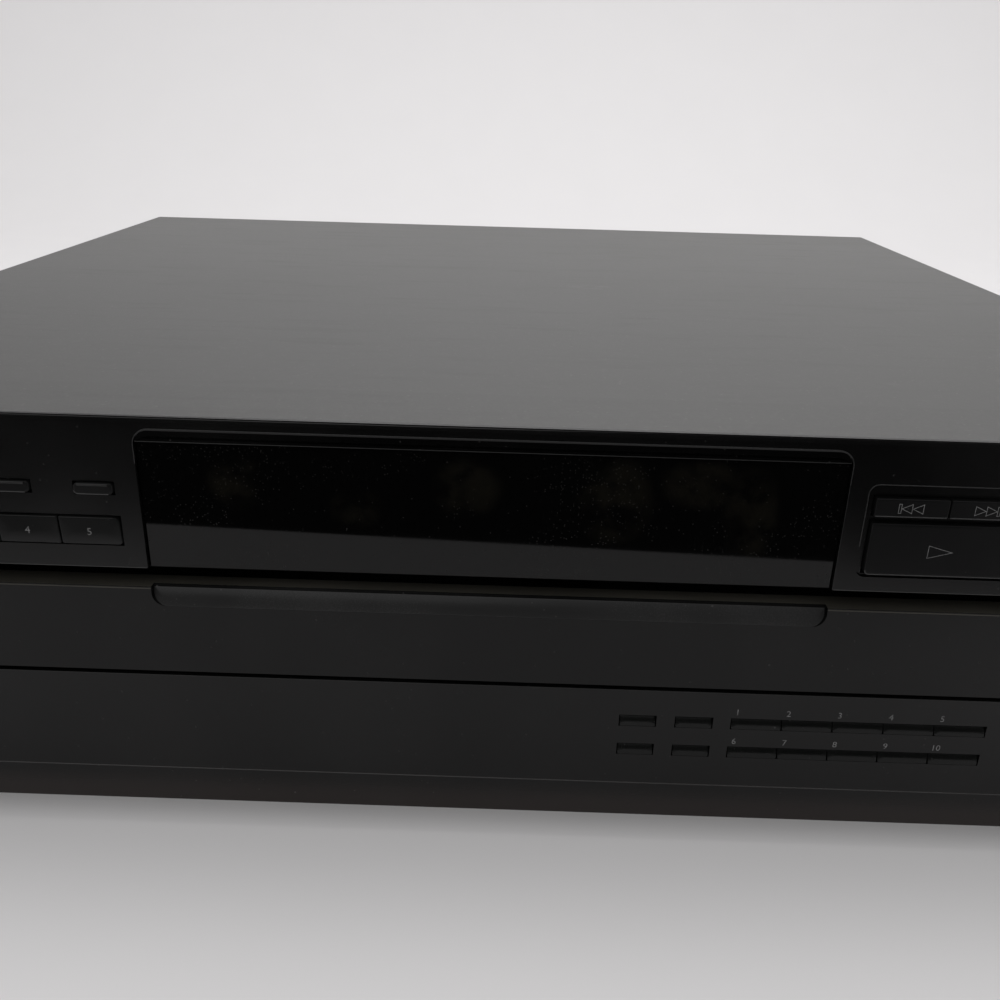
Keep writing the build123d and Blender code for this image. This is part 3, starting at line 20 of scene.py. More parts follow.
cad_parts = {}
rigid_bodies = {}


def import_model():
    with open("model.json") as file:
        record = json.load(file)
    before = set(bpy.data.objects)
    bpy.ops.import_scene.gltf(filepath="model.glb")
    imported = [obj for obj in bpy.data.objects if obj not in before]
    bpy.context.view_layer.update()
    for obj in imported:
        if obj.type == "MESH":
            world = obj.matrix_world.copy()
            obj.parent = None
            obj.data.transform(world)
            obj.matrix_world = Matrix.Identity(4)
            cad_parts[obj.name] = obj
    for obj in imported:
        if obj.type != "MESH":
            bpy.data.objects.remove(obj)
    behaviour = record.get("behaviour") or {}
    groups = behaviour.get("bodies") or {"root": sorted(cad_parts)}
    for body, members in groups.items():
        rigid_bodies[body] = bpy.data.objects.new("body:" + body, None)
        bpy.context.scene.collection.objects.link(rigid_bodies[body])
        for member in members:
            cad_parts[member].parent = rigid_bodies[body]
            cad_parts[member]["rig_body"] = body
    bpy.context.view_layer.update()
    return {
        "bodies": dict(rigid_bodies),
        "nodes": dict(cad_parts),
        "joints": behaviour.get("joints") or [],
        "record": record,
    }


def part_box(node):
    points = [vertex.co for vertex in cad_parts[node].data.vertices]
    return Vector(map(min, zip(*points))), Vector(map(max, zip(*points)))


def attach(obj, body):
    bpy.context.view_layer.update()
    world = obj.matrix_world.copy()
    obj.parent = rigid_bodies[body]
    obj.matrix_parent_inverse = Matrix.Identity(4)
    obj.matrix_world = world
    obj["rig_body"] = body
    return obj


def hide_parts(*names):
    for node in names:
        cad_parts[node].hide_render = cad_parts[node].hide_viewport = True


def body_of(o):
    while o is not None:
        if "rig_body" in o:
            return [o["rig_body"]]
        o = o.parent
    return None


MM = 0.001

# The front's depth, the height of its crease, and how far behind its surface a bead's foot lies.
FRONT_Y = -192.6
CREASE = 20.4
BEAD_FOOT = -0.1

# The angle above which an edge stays sharp, on a plate and on a rounded piece.
PLATE_FOLD = math.radians(40.0)
ROUND_FOLD = math.radians(50.0)

Colour = tuple[float, float, float]
Pair = tuple[float, float]
Point = tuple[float, float, float]
Four = tuple[float, float, float, float]
log = logging.getLogger("disc_changer")


# Shader building


def arithmetic(operation: str, swapped: bool = False) -> Callable[[Value, object], Value]:
    """An operator that adds one Math node.

    Args:
        operation: the node's operation; a comparison gives 1 where it holds, else 0.
        swapped: whether the other value comes first.

    Returns:
        The operator.
    """

    def operator(self: Value, other: object) -> Value:
        """One Math node on two values."""
        return self.apply(operation, *((other, self) if swapped else (self, other)))

    return operator


class Value:
    """A shader socket that takes part in arithmetic, adding a Math node for each operation."""

    def __init__(self, graph: Graph, socket: bpy.types.NodeSocket | None) -> None:
        """Keeps the graph that the socket belongs to."""
        self.graph = graph
        self.socket = socket

    def apply(self, operation: str, *values: object) -> Value:
        """One Math node on one or two values."""
        return self.graph.node("Math", dict(enumerate(values)), operation=operation)

    __add__ = __radd__ = arithmetic("ADD")
    __sub__ = arithmetic("SUBTRACT")
    __rsub__ = arithmetic("SUBTRACT", swapped=True)
    __mul__ = __rmul__ = arithmetic("MULTIPLY")
    __gt__ = arithmetic("GREATER_THAN")
    __lt__ = arithmetic("LESS_THAN")

    def distance_from(self, middle: float) -> Value:
        """How far the value is from a plain number, without its sign."""
        return self.apply("ABSOLUTE", self - middle)

    def wave(self) -> Value:
        """The sine of the value."""
        return self.apply("SINE", self)

    def ramp(self, low: float, high: float) -> Value:
        """A smooth step from 0 at low to 1 at high, or from 1 to 0 where low is the larger.

        Args:
            low: where the step starts.
            high: where it ends.

        Returns:
            The stepped value.
        """
        if low > high:
            return 1.0 - self.ramp(high, low)
        sockets = {"Value": self, "From Min": low, "From Max": high}
        return self.graph.node("MapRange", sockets, interpolation_type="SMOOTHSTEP")


class Graph:
    """The node tree of a material or a world, with the kinds of node that the finishes share."""

    def __init__(self, owner: bpy.types.Material | bpy.types.World) -> None:
        """Empties the owner's tree.

        Args:
            owner: the material or the world.
        """
        owner.use_nodes = True
        self.owner = owner
        self.tree = owner.node_tree
        self.tree.nodes.clear()

    def node(
        self,
        kind: str,
        sockets: dict[str | int, object] | None = None,
        output: str | int = 0,
        **settings: object,
    ) -> Value:
        """Adds one node.

        Args:
            kind: the node's type, without the words that all of them start with.
            sockets: the value or the link of each named or numbered input; a colour has three parts.
            output: the name or number of the output to return.
            settings: the node's properties, set before its sockets.

        Returns:
            The chosen output, which is empty for a node that ends the tree.
        """
        made = self.tree.nodes.new(f"ShaderNode{kind}")
        for name, value in settings.items():
            setattr(made, name, value)
        for key, value in (sockets or {}).items():
            entry = made.inputs[key]
            if isinstance(value, Value):
                self.tree.links.new(value.socket, entry)
            else:
                entry.default_value = (*value, 1.0) if entry.type == "RGBA" else value
        return Value(self, made.outputs[output] if made.outputs else None)

    def place(self) -> Value:
        """Object coordinates, in metres."""
        return self.node("TexCoord", output="Object")

    def axis(self, name: str) -> Value:
        """One of the object's coordinates, X, Y or Z, in metres."""
        return self.node("SeparateXYZ", {"Vector": self.place()}, name)

    def noise(self, scale: float, detail: float, where: Value | None = None) -> Value:
        """Soft random values about 0.5, with features about 1/scale metres across."""
        sockets = {"Vector": where or self.place(), "Scale": scale, "Detail": detail}
        return self.node("TexNoise", sockets, "Fac")

    def streaks(self, scales: Point, detail: float) -> Value:
        """Noise with its own scale along each axis."""
        where = self.node("Mapping", {"Vector": self.place(), "Scale": scales}, vector_type="POINT")
        return self.noise(1.0, detail, where)

    def cells(self, scale: float, output: str = "Distance") -> Value:
        """Voronoi cells about 1/scale metres across: the distance from each middle, or a colour each."""
        return self.node("TexVoronoi", {"Vector": self.place(), "Scale": scale}, output)

    def cell_shades(self, scale: float) -> Value:
        """A random value between 0 and 1 for each Voronoi cell."""
        return self.node("SeparateColor", {"Color": self.cells(scale, "Color")}, "Red")

    def specks(self, scale: float, size: float, share: float) -> Value:
        """Small round specks, 1 inside and 0 outside.

        Args:
            scale: how many cells there are in a metre.
            size: a speck's radius, as a share of its cell.
            share: the share of cells that hold one.

        Returns:
            The mask.
        """
        return self.cells(scale).ramp(size, 0.6 * size) * (self.cell_shades(scale) < share)

    def hairlines(self, scale: float, width: float, share: float) -> Value:
        """Thin curved scratches: where a soft noise crosses one half, kept only in a few patches.

        Args:
            scale: the noise's scale.
            width: how far from one half the noise still shows a line.
            share: how much of the surface the patches take.

        Returns:
            The mask.
        """
        line = self.noise(scale, 0.0).distance_from(0.5).ramp(width, 0.0)
        patch = self.noise(0.6 * scale + 3.0, 1.0).ramp(1.0 - share, 1.02 - share)
        return line * patch

    def ovals(self, places: tuple[Four, ...], second: str) -> Value:
        """Soft oval patches, 1 in the middle and 0 at the rim.

        Args:
            places: each oval's middle and half sizes along X and the second axis, in millimetres.
            second: the name of the second axis.

        Returns:
            The sum of the ovals.
        """
        axes = (self.axis("X"), self.axis(second))
        total = axes[0] * 0.0
        for x, other, half_x, half_other in places:
            across = (axes[0] - x * MM) * (1.0 / (half_x * MM))
            along = (axes[1] - other * MM) * (1.0 / (half_other * MM))
            total = total + (across * across + along * along).ramp(1.0, 0.2)
        return total

    def mix(self, factor: object, first: object, second: object) -> Value:
        """A colour between two others."""
        return self.node("Mix", {"Factor": factor, 6: first, 7: second}, 2, data_type="RGBA")

    def bump(self, height: Value, depth: float, strength: float) -> Value:
        """A bumped normal from a height between 0 and 1 and its depth in metres."""
        return self.node("Bump", {"Height": height, "Distance": depth, "Strength": strength})

    def principled(self, **sockets: object) -> Value:
        """A Principled shader; an underline in a socket's name stands for a space."""
        return self.node("BsdfPrincipled", {name.replace("_", " "): it for name, it in sockets.items()})

    def end(self, shader: Value) -> bpy.types.Material:
        """Ends a material in a shader."""
        self.node("OutputMaterial", {"Surface": shader})
        return self.owner

    def finish(self, **sockets: object) -> bpy.types.Material:
        """Ends a material in one Principled shader."""
        return self.end(self.principled(**sockets))


# Finishes


def grey(level: float) -> Colour:
    """A colour with the same level in each of its parts."""
    return (level, level, level)


def shaded(colour: Colour, share: float) -> Colour:
    """A colour made darker or lighter by one factor."""
    return tuple(share * part for part in colour)


@dataclass(frozen=True)
class Finish:
    """A finish that builds its material once and hands out the same one after that."""

    name: str
    slot: str

    def material(self) -> bpy.types.Material:
        """The finish's material."""
        label = f"dressed_{self.name}"
        return bpy.data.materials.get(label) or self.build(Graph(bpy.data.materials.new(label)))

    def build(self, graph: Graph) -> bpy.types.Material:
        """Builds the nodes; each kind of finish has its own."""
        raise NotImplementedError


@dataclass(frozen=True)
class CoverPaint(Finish):
    """Baked charcoal paint on sheet steel, with a film of dust, short wiping marks, a few scuffs and a
    painted sheen.
    """

    colour: Colour = (0.036, 0.0365, 0.035)
    dust: Colour = (0.20, 0.195, 0.185)
    roughness: float = 0.42
    scuffs: tuple[Four, ...] = ()
    # How much the paint is lightened towards the rear and towards the right: a painted sheen.
    rear_dust: float = 0.085
    right_dust: float = 0.045

    def build(self, graph: Graph) -> bpy.types.Material:
        """Paint grain, cloudy dust, speckle, scuffs and a painted sheen in one shader.

        Args:
            graph: the material's empty tree.

        Returns:
            The material.
        """
        haze = graph.noise(5.0, 3.0).ramp(0.30, 0.75)
        wiped = graph.streaks((30.0, 210.0, 60.0), 3.0).ramp(0.50, 0.80)
        speckle = graph.noise(620.0, 3.0).ramp(0.52, 0.72)
        grit = graph.specks(520.0, 0.20, 0.16) + graph.specks(170.0, 0.07, 0.12)
        strokes = graph.streaks((170.0, 420.0, 60.0), 2.0).ramp(0.45, 0.62)
        wear_and_sheen = graph.ovals(self.scuffs, "Y") * strokes
        # Painted sheen, not settled dust: the paint is lightened towards the rear and the right, and the
        # dust sum below carries it along with the real dust.
        painted_sheen = graph.axis("Y").ramp(-0.17, 0.16) * self.rear_dust
        painted_sheen = painted_sheen + graph.axis("X").ramp(-0.05, 0.19) * self.right_dust
        dust = haze * 0.05 + wiped * haze * 0.03 + speckle * 0.05 + grit * 0.22 + painted_sheen
        grain = graph.noise(2600.0, 2.0)
        height = grain + graph.noise(240.0, 1.0) * 0.6
        paint = graph.mix(wear_and_sheen, self.colour, shaded(self.colour, 0.62))
        rough = self.roughness + (grain - 0.5) * 0.10 + haze * 0.05 + wiped * 0.03 - wear_and_sheen * 0.05
        return graph.finish(
            Base_Color=graph.mix(dust, paint, self.dust),
            Roughness=rough,
            Specular_IOR_Level=0.55,
            Normal=graph.bump(height, 0.00003, 0.6),
        )


@dataclass(frozen=True)
class Moulding(Finish):
    """Moulded plastic with a fine spark grain, a little dust, and faint curved hairlines."""

    colour: Colour = (0.02, 0.02, 0.02)
    roughness: float = 0.3
    grain: float = 0.00002
    dust: float = 0.25
    dust_colour: Colour = (0.30, 0.29, 0.28)
    specular: float = 0.5
    crease: float = 0.0
    crease_fade: float = 9.0
    toe: Colour = (0.0150, 0.0118, 0.0108)
    # The heights between which the colour turns lighter towards the bottom, and that lighter colour: a
    # painted sheen, not wear.
    worn: Pair = (0.0, 0.0)
    worn_colour: Colour = (0.0130, 0.0130, 0.0132)

    def build(self, graph: Graph) -> bpy.types.Material:
        """Grain, cloudy handling marks and dust in one shader, a lighter, warmer colour below any crease
        with a lighter line along it, and any painted sheen.

        Args:
            graph: the material's empty tree.

        Returns:
            The material.
        """
        cloud = graph.noise(22.0, 4.0).ramp(0.35, 0.7)
        grain = graph.noise(3400.0, 1.0)
        specks = graph.specks(620.0, 0.16, 0.10) * 0.5 + graph.specks(240.0, 0.08, 0.12)
        lines = graph.hairlines(38.0, 0.0016, 0.34)
        dirt = (specks * 0.35 + lines * 0.06 + cloud * 0.02) * self.dust
        plastic = graph.mix(cloud, self.colour, shaded(self.colour, 1.3))
        # Below any crease the colour goes lighter and warmer, with a lighter line along the crease itself.
        if self.crease:
            height = graph.axis("Z")
            below = height.ramp(self.crease * MM, (self.crease - self.crease_fade) * MM)
            line = height.distance_from(self.crease * MM).ramp(0.0005, 0.0001)
            plastic = graph.mix(below, plastic, self.toe)
            plastic = graph.mix(line * 0.6, plastic, self.toe)
        # A painted sheen: below these heights the face turns to the lighter colour.
        if self.worn[1]:
            wear_and_sheen = graph.axis("Z").ramp(self.worn[1] * MM, self.worn[0] * MM)
            plastic = graph.mix(wear_and_sheen, plastic, self.worn_colour)
        return graph.finish(
            Base_Color=graph.mix(dirt, plastic, self.dust_colour),
            Roughness=self.roughness + (grain - 0.5) * 0.12 + cloud * 0.04 + specks * 0.2,
            Specular_IOR_Level=self.specular,
            Normal=graph.bump(grain, self.grain, 0.5),
        )


@dataclass(frozen=True)
class TintedWindow(Finish):
    """A glossy, nearly black window, with faint brown patches on it and clusters of fine dust."""

    patches: tuple[Four, ...] = ()
    base: Colour = grey(0.0012)
    brown: Colour = (0.0046, 0.0042, 0.0032)
    dust: Colour = (0.25, 0.24, 0.22)

    def build(self, graph: Graph) -> bpy.types.Material:
        """Patches, specks and a soft roughness change in one glossy shader.

        Args:
            graph: the material's empty tree.

        Returns:
            The material.
        """
        cloud = graph.streaks((120.0, 34.0, 120.0), 4.0).ramp(0.34, 0.62)
        patch = graph.ovals(self.patches, "Z") * cloud
        tone = graph.mix(patch, self.base, self.brown)
        cluster = graph.noise(70.0, 2.0).ramp(0.44, 0.62)
        specks = graph.specks(1500.0, 0.28, 0.36) * cluster + graph.specks(900.0, 0.18, 0.12)
        smear = graph.streaks((20.0, 40.0, 70.0), 4.0).ramp(0.4, 0.8)
        return graph.finish(
            Base_Color=graph.mix(specks * 0.040, tone, self.dust),
            Roughness=0.028 + smear * 0.025 + specks * 0.2,
            Specular_IOR_Level=0.22,
            Normal=graph.bump(graph.noise(9.0, 1.0), 0.0003, 0.1),
        )


@dataclass(frozen=True)
class PlatedSteel(Finish):
    """Zinc-plated sheet: small crystals of slightly different shade, with rolling lines."""

    colour: Colour = (0.50, 0.50, 0.48)
    roughness: float = 0.38
    crystal: float = 180.0
    stain: Colour = (0.32, 0.29, 0.24)

    def build(self, graph: Graph) -> bpy.types.Material:
        """Crystals and rolling lines in one metal shader.

        Args:
            graph: the material's empty tree.

        Returns:
            The material.
        """
        shade = graph.cell_shades(self.crystal)
        rolled = graph.streaks((9.0, 900.0, 900.0), 3.0)
        stain = graph.noise(30.0, 4.0).ramp(0.55, 0.85)
        metal = graph.mix(shade * 0.5 + rolled * 0.5, shaded(self.colour, 0.82), self.colour)
        return graph.finish(
            Base_Color=graph.mix(stain * 0.4, metal, self.stain),
            Metallic=0.92,
            Roughness=self.roughness + shade * 0.08 + rolled * 0.10 + stain * 0.12,
            Normal=graph.bump(rolled, 0.00002, 0.4),
        )


@dataclass(frozen=True)
class CircuitBoard(Finish):
    """Varnished board with copper tracks, soldered joints and dark parts above its surface."""

    top: float = 17.6
    varnish: Colour = (0.10, 0.075, 0.028)
    copper: Colour = (0.18, 0.14, 0.05)
    solder: Colour = (0.42, 0.41, 0.38)
    moulded: tuple[Colour, Colour] = ((0.012, 0.012, 0.014), (0.035, 0.035, 0.04))

    def build(self, graph: Graph) -> bpy.types.Material:
        """Tracks and pads on the board itself, and a dark moulded colour for what stands on it.

        Args:
            graph: the material's empty tree.

        Returns:
            The material.
        """
        bent = graph.streaks((55.0, 260.0, 55.0), 0.0)
        tracks = bent.distance_from(0.5).ramp(0.05, 0.03)
        pads = graph.cells(240.0).ramp(0.22, 0.16)
        board = graph.mix(tracks * 0.7, self.varnish, self.copper)
        board = graph.mix(pads, board, self.solder)
        above = graph.axis("Z").ramp((self.top + 0.3) * MM, (self.top + 0.6) * MM)
        band = graph.noise(90.0, 2.0)
        parts = graph.mix(band, *self.moulded)
        return graph.finish(
            Base_Color=graph.mix(above, board, parts),
            Metallic=pads * 0.6 * (1.0 - above),
            Roughness=0.35 + band * 0.2,
            Normal=graph.bump(tracks + pads, 0.00004, 0.5),
        )


@dataclass(frozen=True)
class WoundCore(Finish):
    """Stacked laminations, varnished, with a little rust."""

    gap: Colour = (0.035, 0.033, 0.032)
    steel: Colour = (0.13, 0.125, 0.12)
    rust: Colour = (0.12, 0.055, 0.02)
    pitch: float = 12000.0

    def build(self, graph: Graph) -> bpy.types.Material:
        """Lamination lines and a rust tint in one shader.

        Args:
            graph: the material's empty tree.

        Returns:
            The material.
        """
        sheets = (graph.axis("Z") * self.pitch).wave().ramp(-0.4, 0.8)
        rust = graph.noise(90.0, 4.0).ramp(0.5, 0.75)
        steel = graph.mix(sheets, self.gap, self.steel)
        return graph.finish(
            Base_Color=graph.mix(rust * 0.5, steel, self.rust),
            Metallic=0.5,
            Roughness=0.45 + rust * 0.2,
            Normal=graph.bump(sheets, 0.00008, 0.6),
        )


@dataclass(frozen=True)
class SocketPlastic(Finish):
    """Black moulded sockets; each line output has a nickel barrel, with a coloured middle and collar."""

    outside: float = 190.8
    height: float = 30.0
    collar: float = 6.2
    barrel: Pair = (3.2, 4.4)
    outputs: tuple[tuple[float, Colour], ...] = ((120.0, (0.42, 0.012, 0.010)), (138.0, (0.62, 0.61, 0.58)))
    plastic: tuple[Colour, Colour] = ((0.012, 0.012, 0.013), (0.018, 0.018, 0.019))
    nickel: Colour = (0.58, 0.57, 0.54)

    def build(self, graph: Graph) -> bpy.types.Material:
        """Black plastic, with the outputs' colours chosen by how far a point is from each one's axis.

        Args:
            graph: the material's empty tree.

        Returns:
            The material.
        """
        grain = graph.noise(2600.0, 2.0)
        behind = graph.axis("Y") > self.outside * MM
        up = graph.axis("Z") - self.height * MM
        inner, outer, edge = ((radius * MM) ** 2 for radius in (*self.barrel, self.collar))
        colour = graph.mix(grain, *self.plastic)
        metal = grain * 0.0
        for x, insulator in self.outputs:
            across = graph.axis("X") - x * MM
            square = across * across + up * up
            ring = (square > inner) * (square < outer) * behind
            colour = graph.mix((square < edge) * behind, colour, insulator)
            colour = graph.mix(ring, colour, self.nickel)
            metal = metal + ring * 0.95
        return graph.finish(
            Base_Color=colour,
            Metallic=metal,
            Roughness=0.34 + grain * 0.10,
            Normal=graph.bump(grain, 0.00002, 0.4),
        )


@dataclass(frozen=True)
class Print(Finish):
    """Pad-printed ink, slightly worn where fingers touch it."""

    colour: Colour = grey(0.13)

    def build(self, graph: Graph) -> bpy.types.Material:
        """Ink with pinholes.

        Args:
            graph: the material's empty tree.

        Returns:
            The material.
        """
        thin = graph.noise(1800.0, 2.0).ramp(0.35, 0.6)
        return graph.finish(
            Base_Color=graph.mix(thin, shaded(self.colour, 0.6), self.colour),
            Roughness=0.45 + thin * 0.1,
            Specular_IOR_Level=0.3,
            Normal=graph.bump(thin, 0.00001, 0.5),
        )


@dataclass(frozen=True)
class Pale(Finish):
    """The studio's floor and backdrop: pale board that shows a little of its own white to the eye."""

    colour: Colour = (0.78, 0.765, 0.77)
    white: Colour = (1.0, 0.985, 0.99)
    own_white: float = 0.25
    level: float = 0.5
    kinds: tuple[str, ...] = ("Camera", "Glossy", "Transmission")

    def build(self, graph: Graph) -> bpy.types.Material:
        """A soft mottle on a matt board, with a share of plain white for what looks at it directly.

        Args:
            graph: the material's empty tree.

        Returns:
            The material.
        """
        tone = graph.mix(graph.noise(14.0, 5.0), shaded(self.colour, 0.97), self.colour)
        board = graph.principled(Base_Color=tone, Roughness=0.85, Specular_IOR_Level=0.2)
        white = graph.node("Emission", {"Color": self.white, "Strength": self.level})
        looks = [graph.node("LightPath", output=f"Is {kind} Ray") for kind in self.kinds]
        share = sum(looks[1:], looks[0]) * self.own_white
        return graph.end(graph.node("MixShader", {0: share, 1: board, 2: white}))


# Soft ovals on the cover and on the window: the middle's X and Y or Z, and the half sizes along them.
SCUFFS = (
    (64.7, -159.4, 8.0, 2.2),
    (61.0, -154.0, 4.0, 1.6),
    (114.1, -142.9, 3.0, 2.0),
    (35.7, -2.4, 12.0, 6.0),
    (38.2, -114.6, 9.0, 3.0),
    (-92.6, -40.0, 5.0, 3.0),
)
PATCHES = (
    (-63.5, 107.5, 9.0, 8.0),
    (-34.0, 101.5, 8.0, 6.0),
    (-6.0, 108.0, 10.0, 9.0),
    (31.0, 106.0, 11.0, 14.0),
    (52.0, 111.0, 11.0, 8.0),
    (65.5, 103.0, 8.0, 15.0),
)

# The depth in metres of a fine grain and of a coarse one.
FINE = 0.000006
COARSE = 0.00005


def front(name: str, colour: Colour, roughness: float, **rest: object) -> Moulding:
    """A finish of the front's own plastic."""
    return Moulding(name, "front_plastic", colour, roughness, **rest)


def worn_line(name: str, colour: Colour, roughness: float, **rest: object) -> Moulding:
    """A finish of the front's plastic for a thin line, with a fine grain and little dust."""
    return front(name, colour, roughness, grain=FINE, dust=0.1, **rest)


COVER = CoverPaint("cover_paint", "cover_paint", scuffs=SCUFFS)
FRONT = front("front_plastic", grey(0.0024), 0.21, specular=0.24, crease=CREASE)
DRAWER = front("drawer_plastic", grey(0.0022), 0.22, specular=0.21)
SCOOP = front("scoop_plastic", grey(0.0170), 0.24, specular=0.22)
# Much lighter than the front's plastic: a painted highlight for thin lines on the front and the keys.
RIM = front("rim_plastic", grey(0.0085), 0.30, specular=0.3)
# Darker than the front's plastic: painted shade for the recess floor above the window.
SHADED_SURROUND = front("surround_painted_shade", grey(0.0012), 0.16, specular=0.18)
# Much lighter and warmer than the front's plastic: painted light falling on the drawer's top ledge.
LIT_LEDGE = front("ledge_painted_light", (0.032, 0.030, 0.025), 0.36, specular=0.30)
# These two are much lighter than the front's plastic: painted highlights on the beads along edges and
# moulded lines; the beads' rounding also catches real light.
EDGE = worn_line("edge_plastic", grey(0.020), 0.22, specular=0.6)
LINE = worn_line("line_plastic", grey(0.012), 0.26, specular=0.45)
# A near-white grey for one stretch of the cover's front edge: a painted highlight.
EDGE_HIGHLIGHT = worn_line("cover_edge_painted_highlight", grey(0.22), 0.30, specular=0.7)
GLOSS = worn_line("lip_plastic", grey(0.004), 0.12)
KEYS = Moulding("key_plastic", "key_plastic", (0.0044, 0.0044, 0.0045), 0.33, specular=0.11)
# The disc keys are painted lighter towards their bottom edge: a painted sheen.
DISC_KEYS = replace(KEYS, name="disc_key_plastic", colour=(0.0038, 0.0040, 0.0039), worn=(89.8, 93.8))
ROW_KEYS = Moulding("row_key_plastic", "key_plastic", (0.0036, 0.0039, 0.0037), 0.24, specular=0.19)
GLASS = TintedWindow("window_tint", "window_tint", PATCHES)
FEET = Moulding("foot_plastic", "foot_plastic", (0.016, 0.016, 0.017), 0.55, 0.00006)
BELT = Moulding("belt_rubber", "belt_rubber", grey(0.010), 0.65, 0.00004)
TRAY = Moulding("tray_plastic", "mech_plastic", (0.022, 0.022, 0.023), 0.42, COARSE)
TABLE = Moulding("table_plastic", "mech_plastic", (0.030, 0.030, 0.032), 0.40, COARSE)
DECK = Moulding("deck_plastic", "mech_plastic", (0.014, 0.014, 0.015), 0.48, COARSE)
GEARS = Moulding("gear_plastic", "gear_plastic", (0.62, 0.60, 0.53), 0.36, 0.00002, 0.35, (0.12, 0.10, 0.07))
JACKS = Moulding("jack_plastic", "jack_plastic", (0.015, 0.015, 0.016), 0.38)
SOCKETS = SocketPlastic("socket_plastic", "jack_plastic")
STEEL = PlatedSteel("plated_steel", "plated_steel")
BASE = PlatedSteel("base_metal", "base_metal", (0.36, 0.36, 0.37), 0.42, 420.0)
CAN = PlatedSteel("motor_can", "motor_can", (0.60, 0.59, 0.57), 0.28, 90.0)
SCREWS = PlatedSteel("dark_screw", "dark_screw", (0.055, 0.055, 0.058), 0.34, 700.0)
BOARD = CircuitBoard("circuit_board", "circuit_board")
CORE = WoundCore("transformer", "transformer")
INK = Print("key_print", "front_plastic")
FLOOR = Pale("studio_floor", "")

NODES_OF: dict[Finish, tuple[str, ...]] = {
    COVER: ("top_cover", "rear_panel"),
    FRONT: ("front_panel",),
    DRAWER: ("drawer_front",),
    SCREWS: ("cover_screws",),
    BOARD: ("main_board", "front_boards"),
    CORE: ("power_transformer",),
    SOCKETS: ("output_jacks",),
    JACKS: ("cord_gland", "headphone_jack"),
    STEEL: ("chassis_base", "lift_slide", "clamp_bridge"),
    CAN: ("loading_motor", "table_motor"),
    GEARS: ("loading_pulley", "loading_gear", "table_pinion", "table_gear"),
    BELT: ("loading_belt",),
    TRAY: ("tray",),
    TABLE: ("carousel",),
    BASE: ("base_unit",),
}
NODE_FINISHES = {name: finish for finish, names in NODES_OF.items() for name in names}


# Mesh building


def grid_faces(
    rows: int, columns: int, round_rows: bool = False, round_columns: bool = False
) -> np.ndarray:
    """Quads over a grid of points numbered row by row.

    Args:
        rows: how many rows there are.
        columns: how many points are in a row.
        round_rows: whether the last row joins the first.
        round_columns: whether each row's last point joins its first.

    Returns:
        Four point numbers for each quad.
    """
    row = np.arange(rows if round_rows else rows - 1)
    column = np.arange(columns if round_columns else columns - 1)
    row, column = np.meshgrid(row, column, indexing="ij")
    below = (row + 1) % rows
    right = (column + 1) % columns
    here, under = row * columns, below * columns
    return np.stack([here + column, here + right, under + right, under + column], axis=-1).reshape(-1, 4)


def quarter_turn(count: int) -> np.ndarray:
    """Angles in equal steps from 0 to a right angle."""
    return np.linspace(0.0, math.pi / 2, count)


def level_line(span: Pair, height: float, count: int) -> np.ndarray:
    """Points from left to right at one height, with Y at 0."""
    return np.stack([np.linspace(*span, count), np.zeros(count), np.full(count, height)], axis=1)


def straight_grid(across: np.ndarray, y: np.ndarray, z: np.ndarray) -> np.ndarray:
    """A section in Y and Z carried straight across: at every X, each of its points in turn."""
    count = len(across)
    return np.stack([np.repeat(across, len(y)), np.tile(y, count), np.tile(z, count)], axis=1)


def round_over(face: float, top: float, radius: float, count: int) -> tuple[np.ndarray, np.ndarray]:
    """A quarter circle: the face + radius (1 - cos) in Y, and the top - radius (1 - sin) in Z."""
    turn = quarter_turn(count)
    return face + radius * (1 - np.cos(turn)), top - radius * (1 - np.sin(turn))


def carried_profile(path: np.ndarray, sides: np.ndarray, profile: np.ndarray) -> np.ndarray:
    """Carries a flat profile along a path in a plane that faces the front.

    Each point is its path point, plus the profile's first number along the path's outward side, plus
    its second number along -Y, towards the viewer.

    Args:
        path: points along the path.
        sides: the outward side at each of them, of length one or a corner's mitre.
        profile: (outward, proud) pairs.

    Returns:
        The grid's points, one path point after another.
    """
    out = sides[:, None, :] * profile[None, :, :1]
    proud = np.array([0.0, -1.0, 0.0]) * profile[None, :, 1:]
    return (path[:, None, :] + out + proud).reshape(-1, 3)


def outward_sides(runs: np.ndarray) -> np.ndarray:
    """The side of each run in X and Z, one long and square to it: its (-Z, 0, X) over its length."""
    ahead = runs / np.linalg.norm(runs, axis=1, keepdims=True)
    return np.stack([-ahead[:, 2], np.zeros(len(runs)), ahead[:, 0]], axis=1)


def mitred_sides(path: np.ndarray) -> np.ndarray:
    """The outward side at each corner of a closed path that runs clockwise as seen.

    It is the sum of the two runs' own sides, stretched so that both runs keep their full width.

    Args:
        path: the corners, in X and Z.

    Returns:
        A side for each corner.
    """
    side = outward_sides(np.roll(path, -1, axis=0) - path)
    before = np.roll(side, 1, axis=0)
    both = side + before
    return both / (1.0 + (side * before).sum(axis=1, keepdims=True))


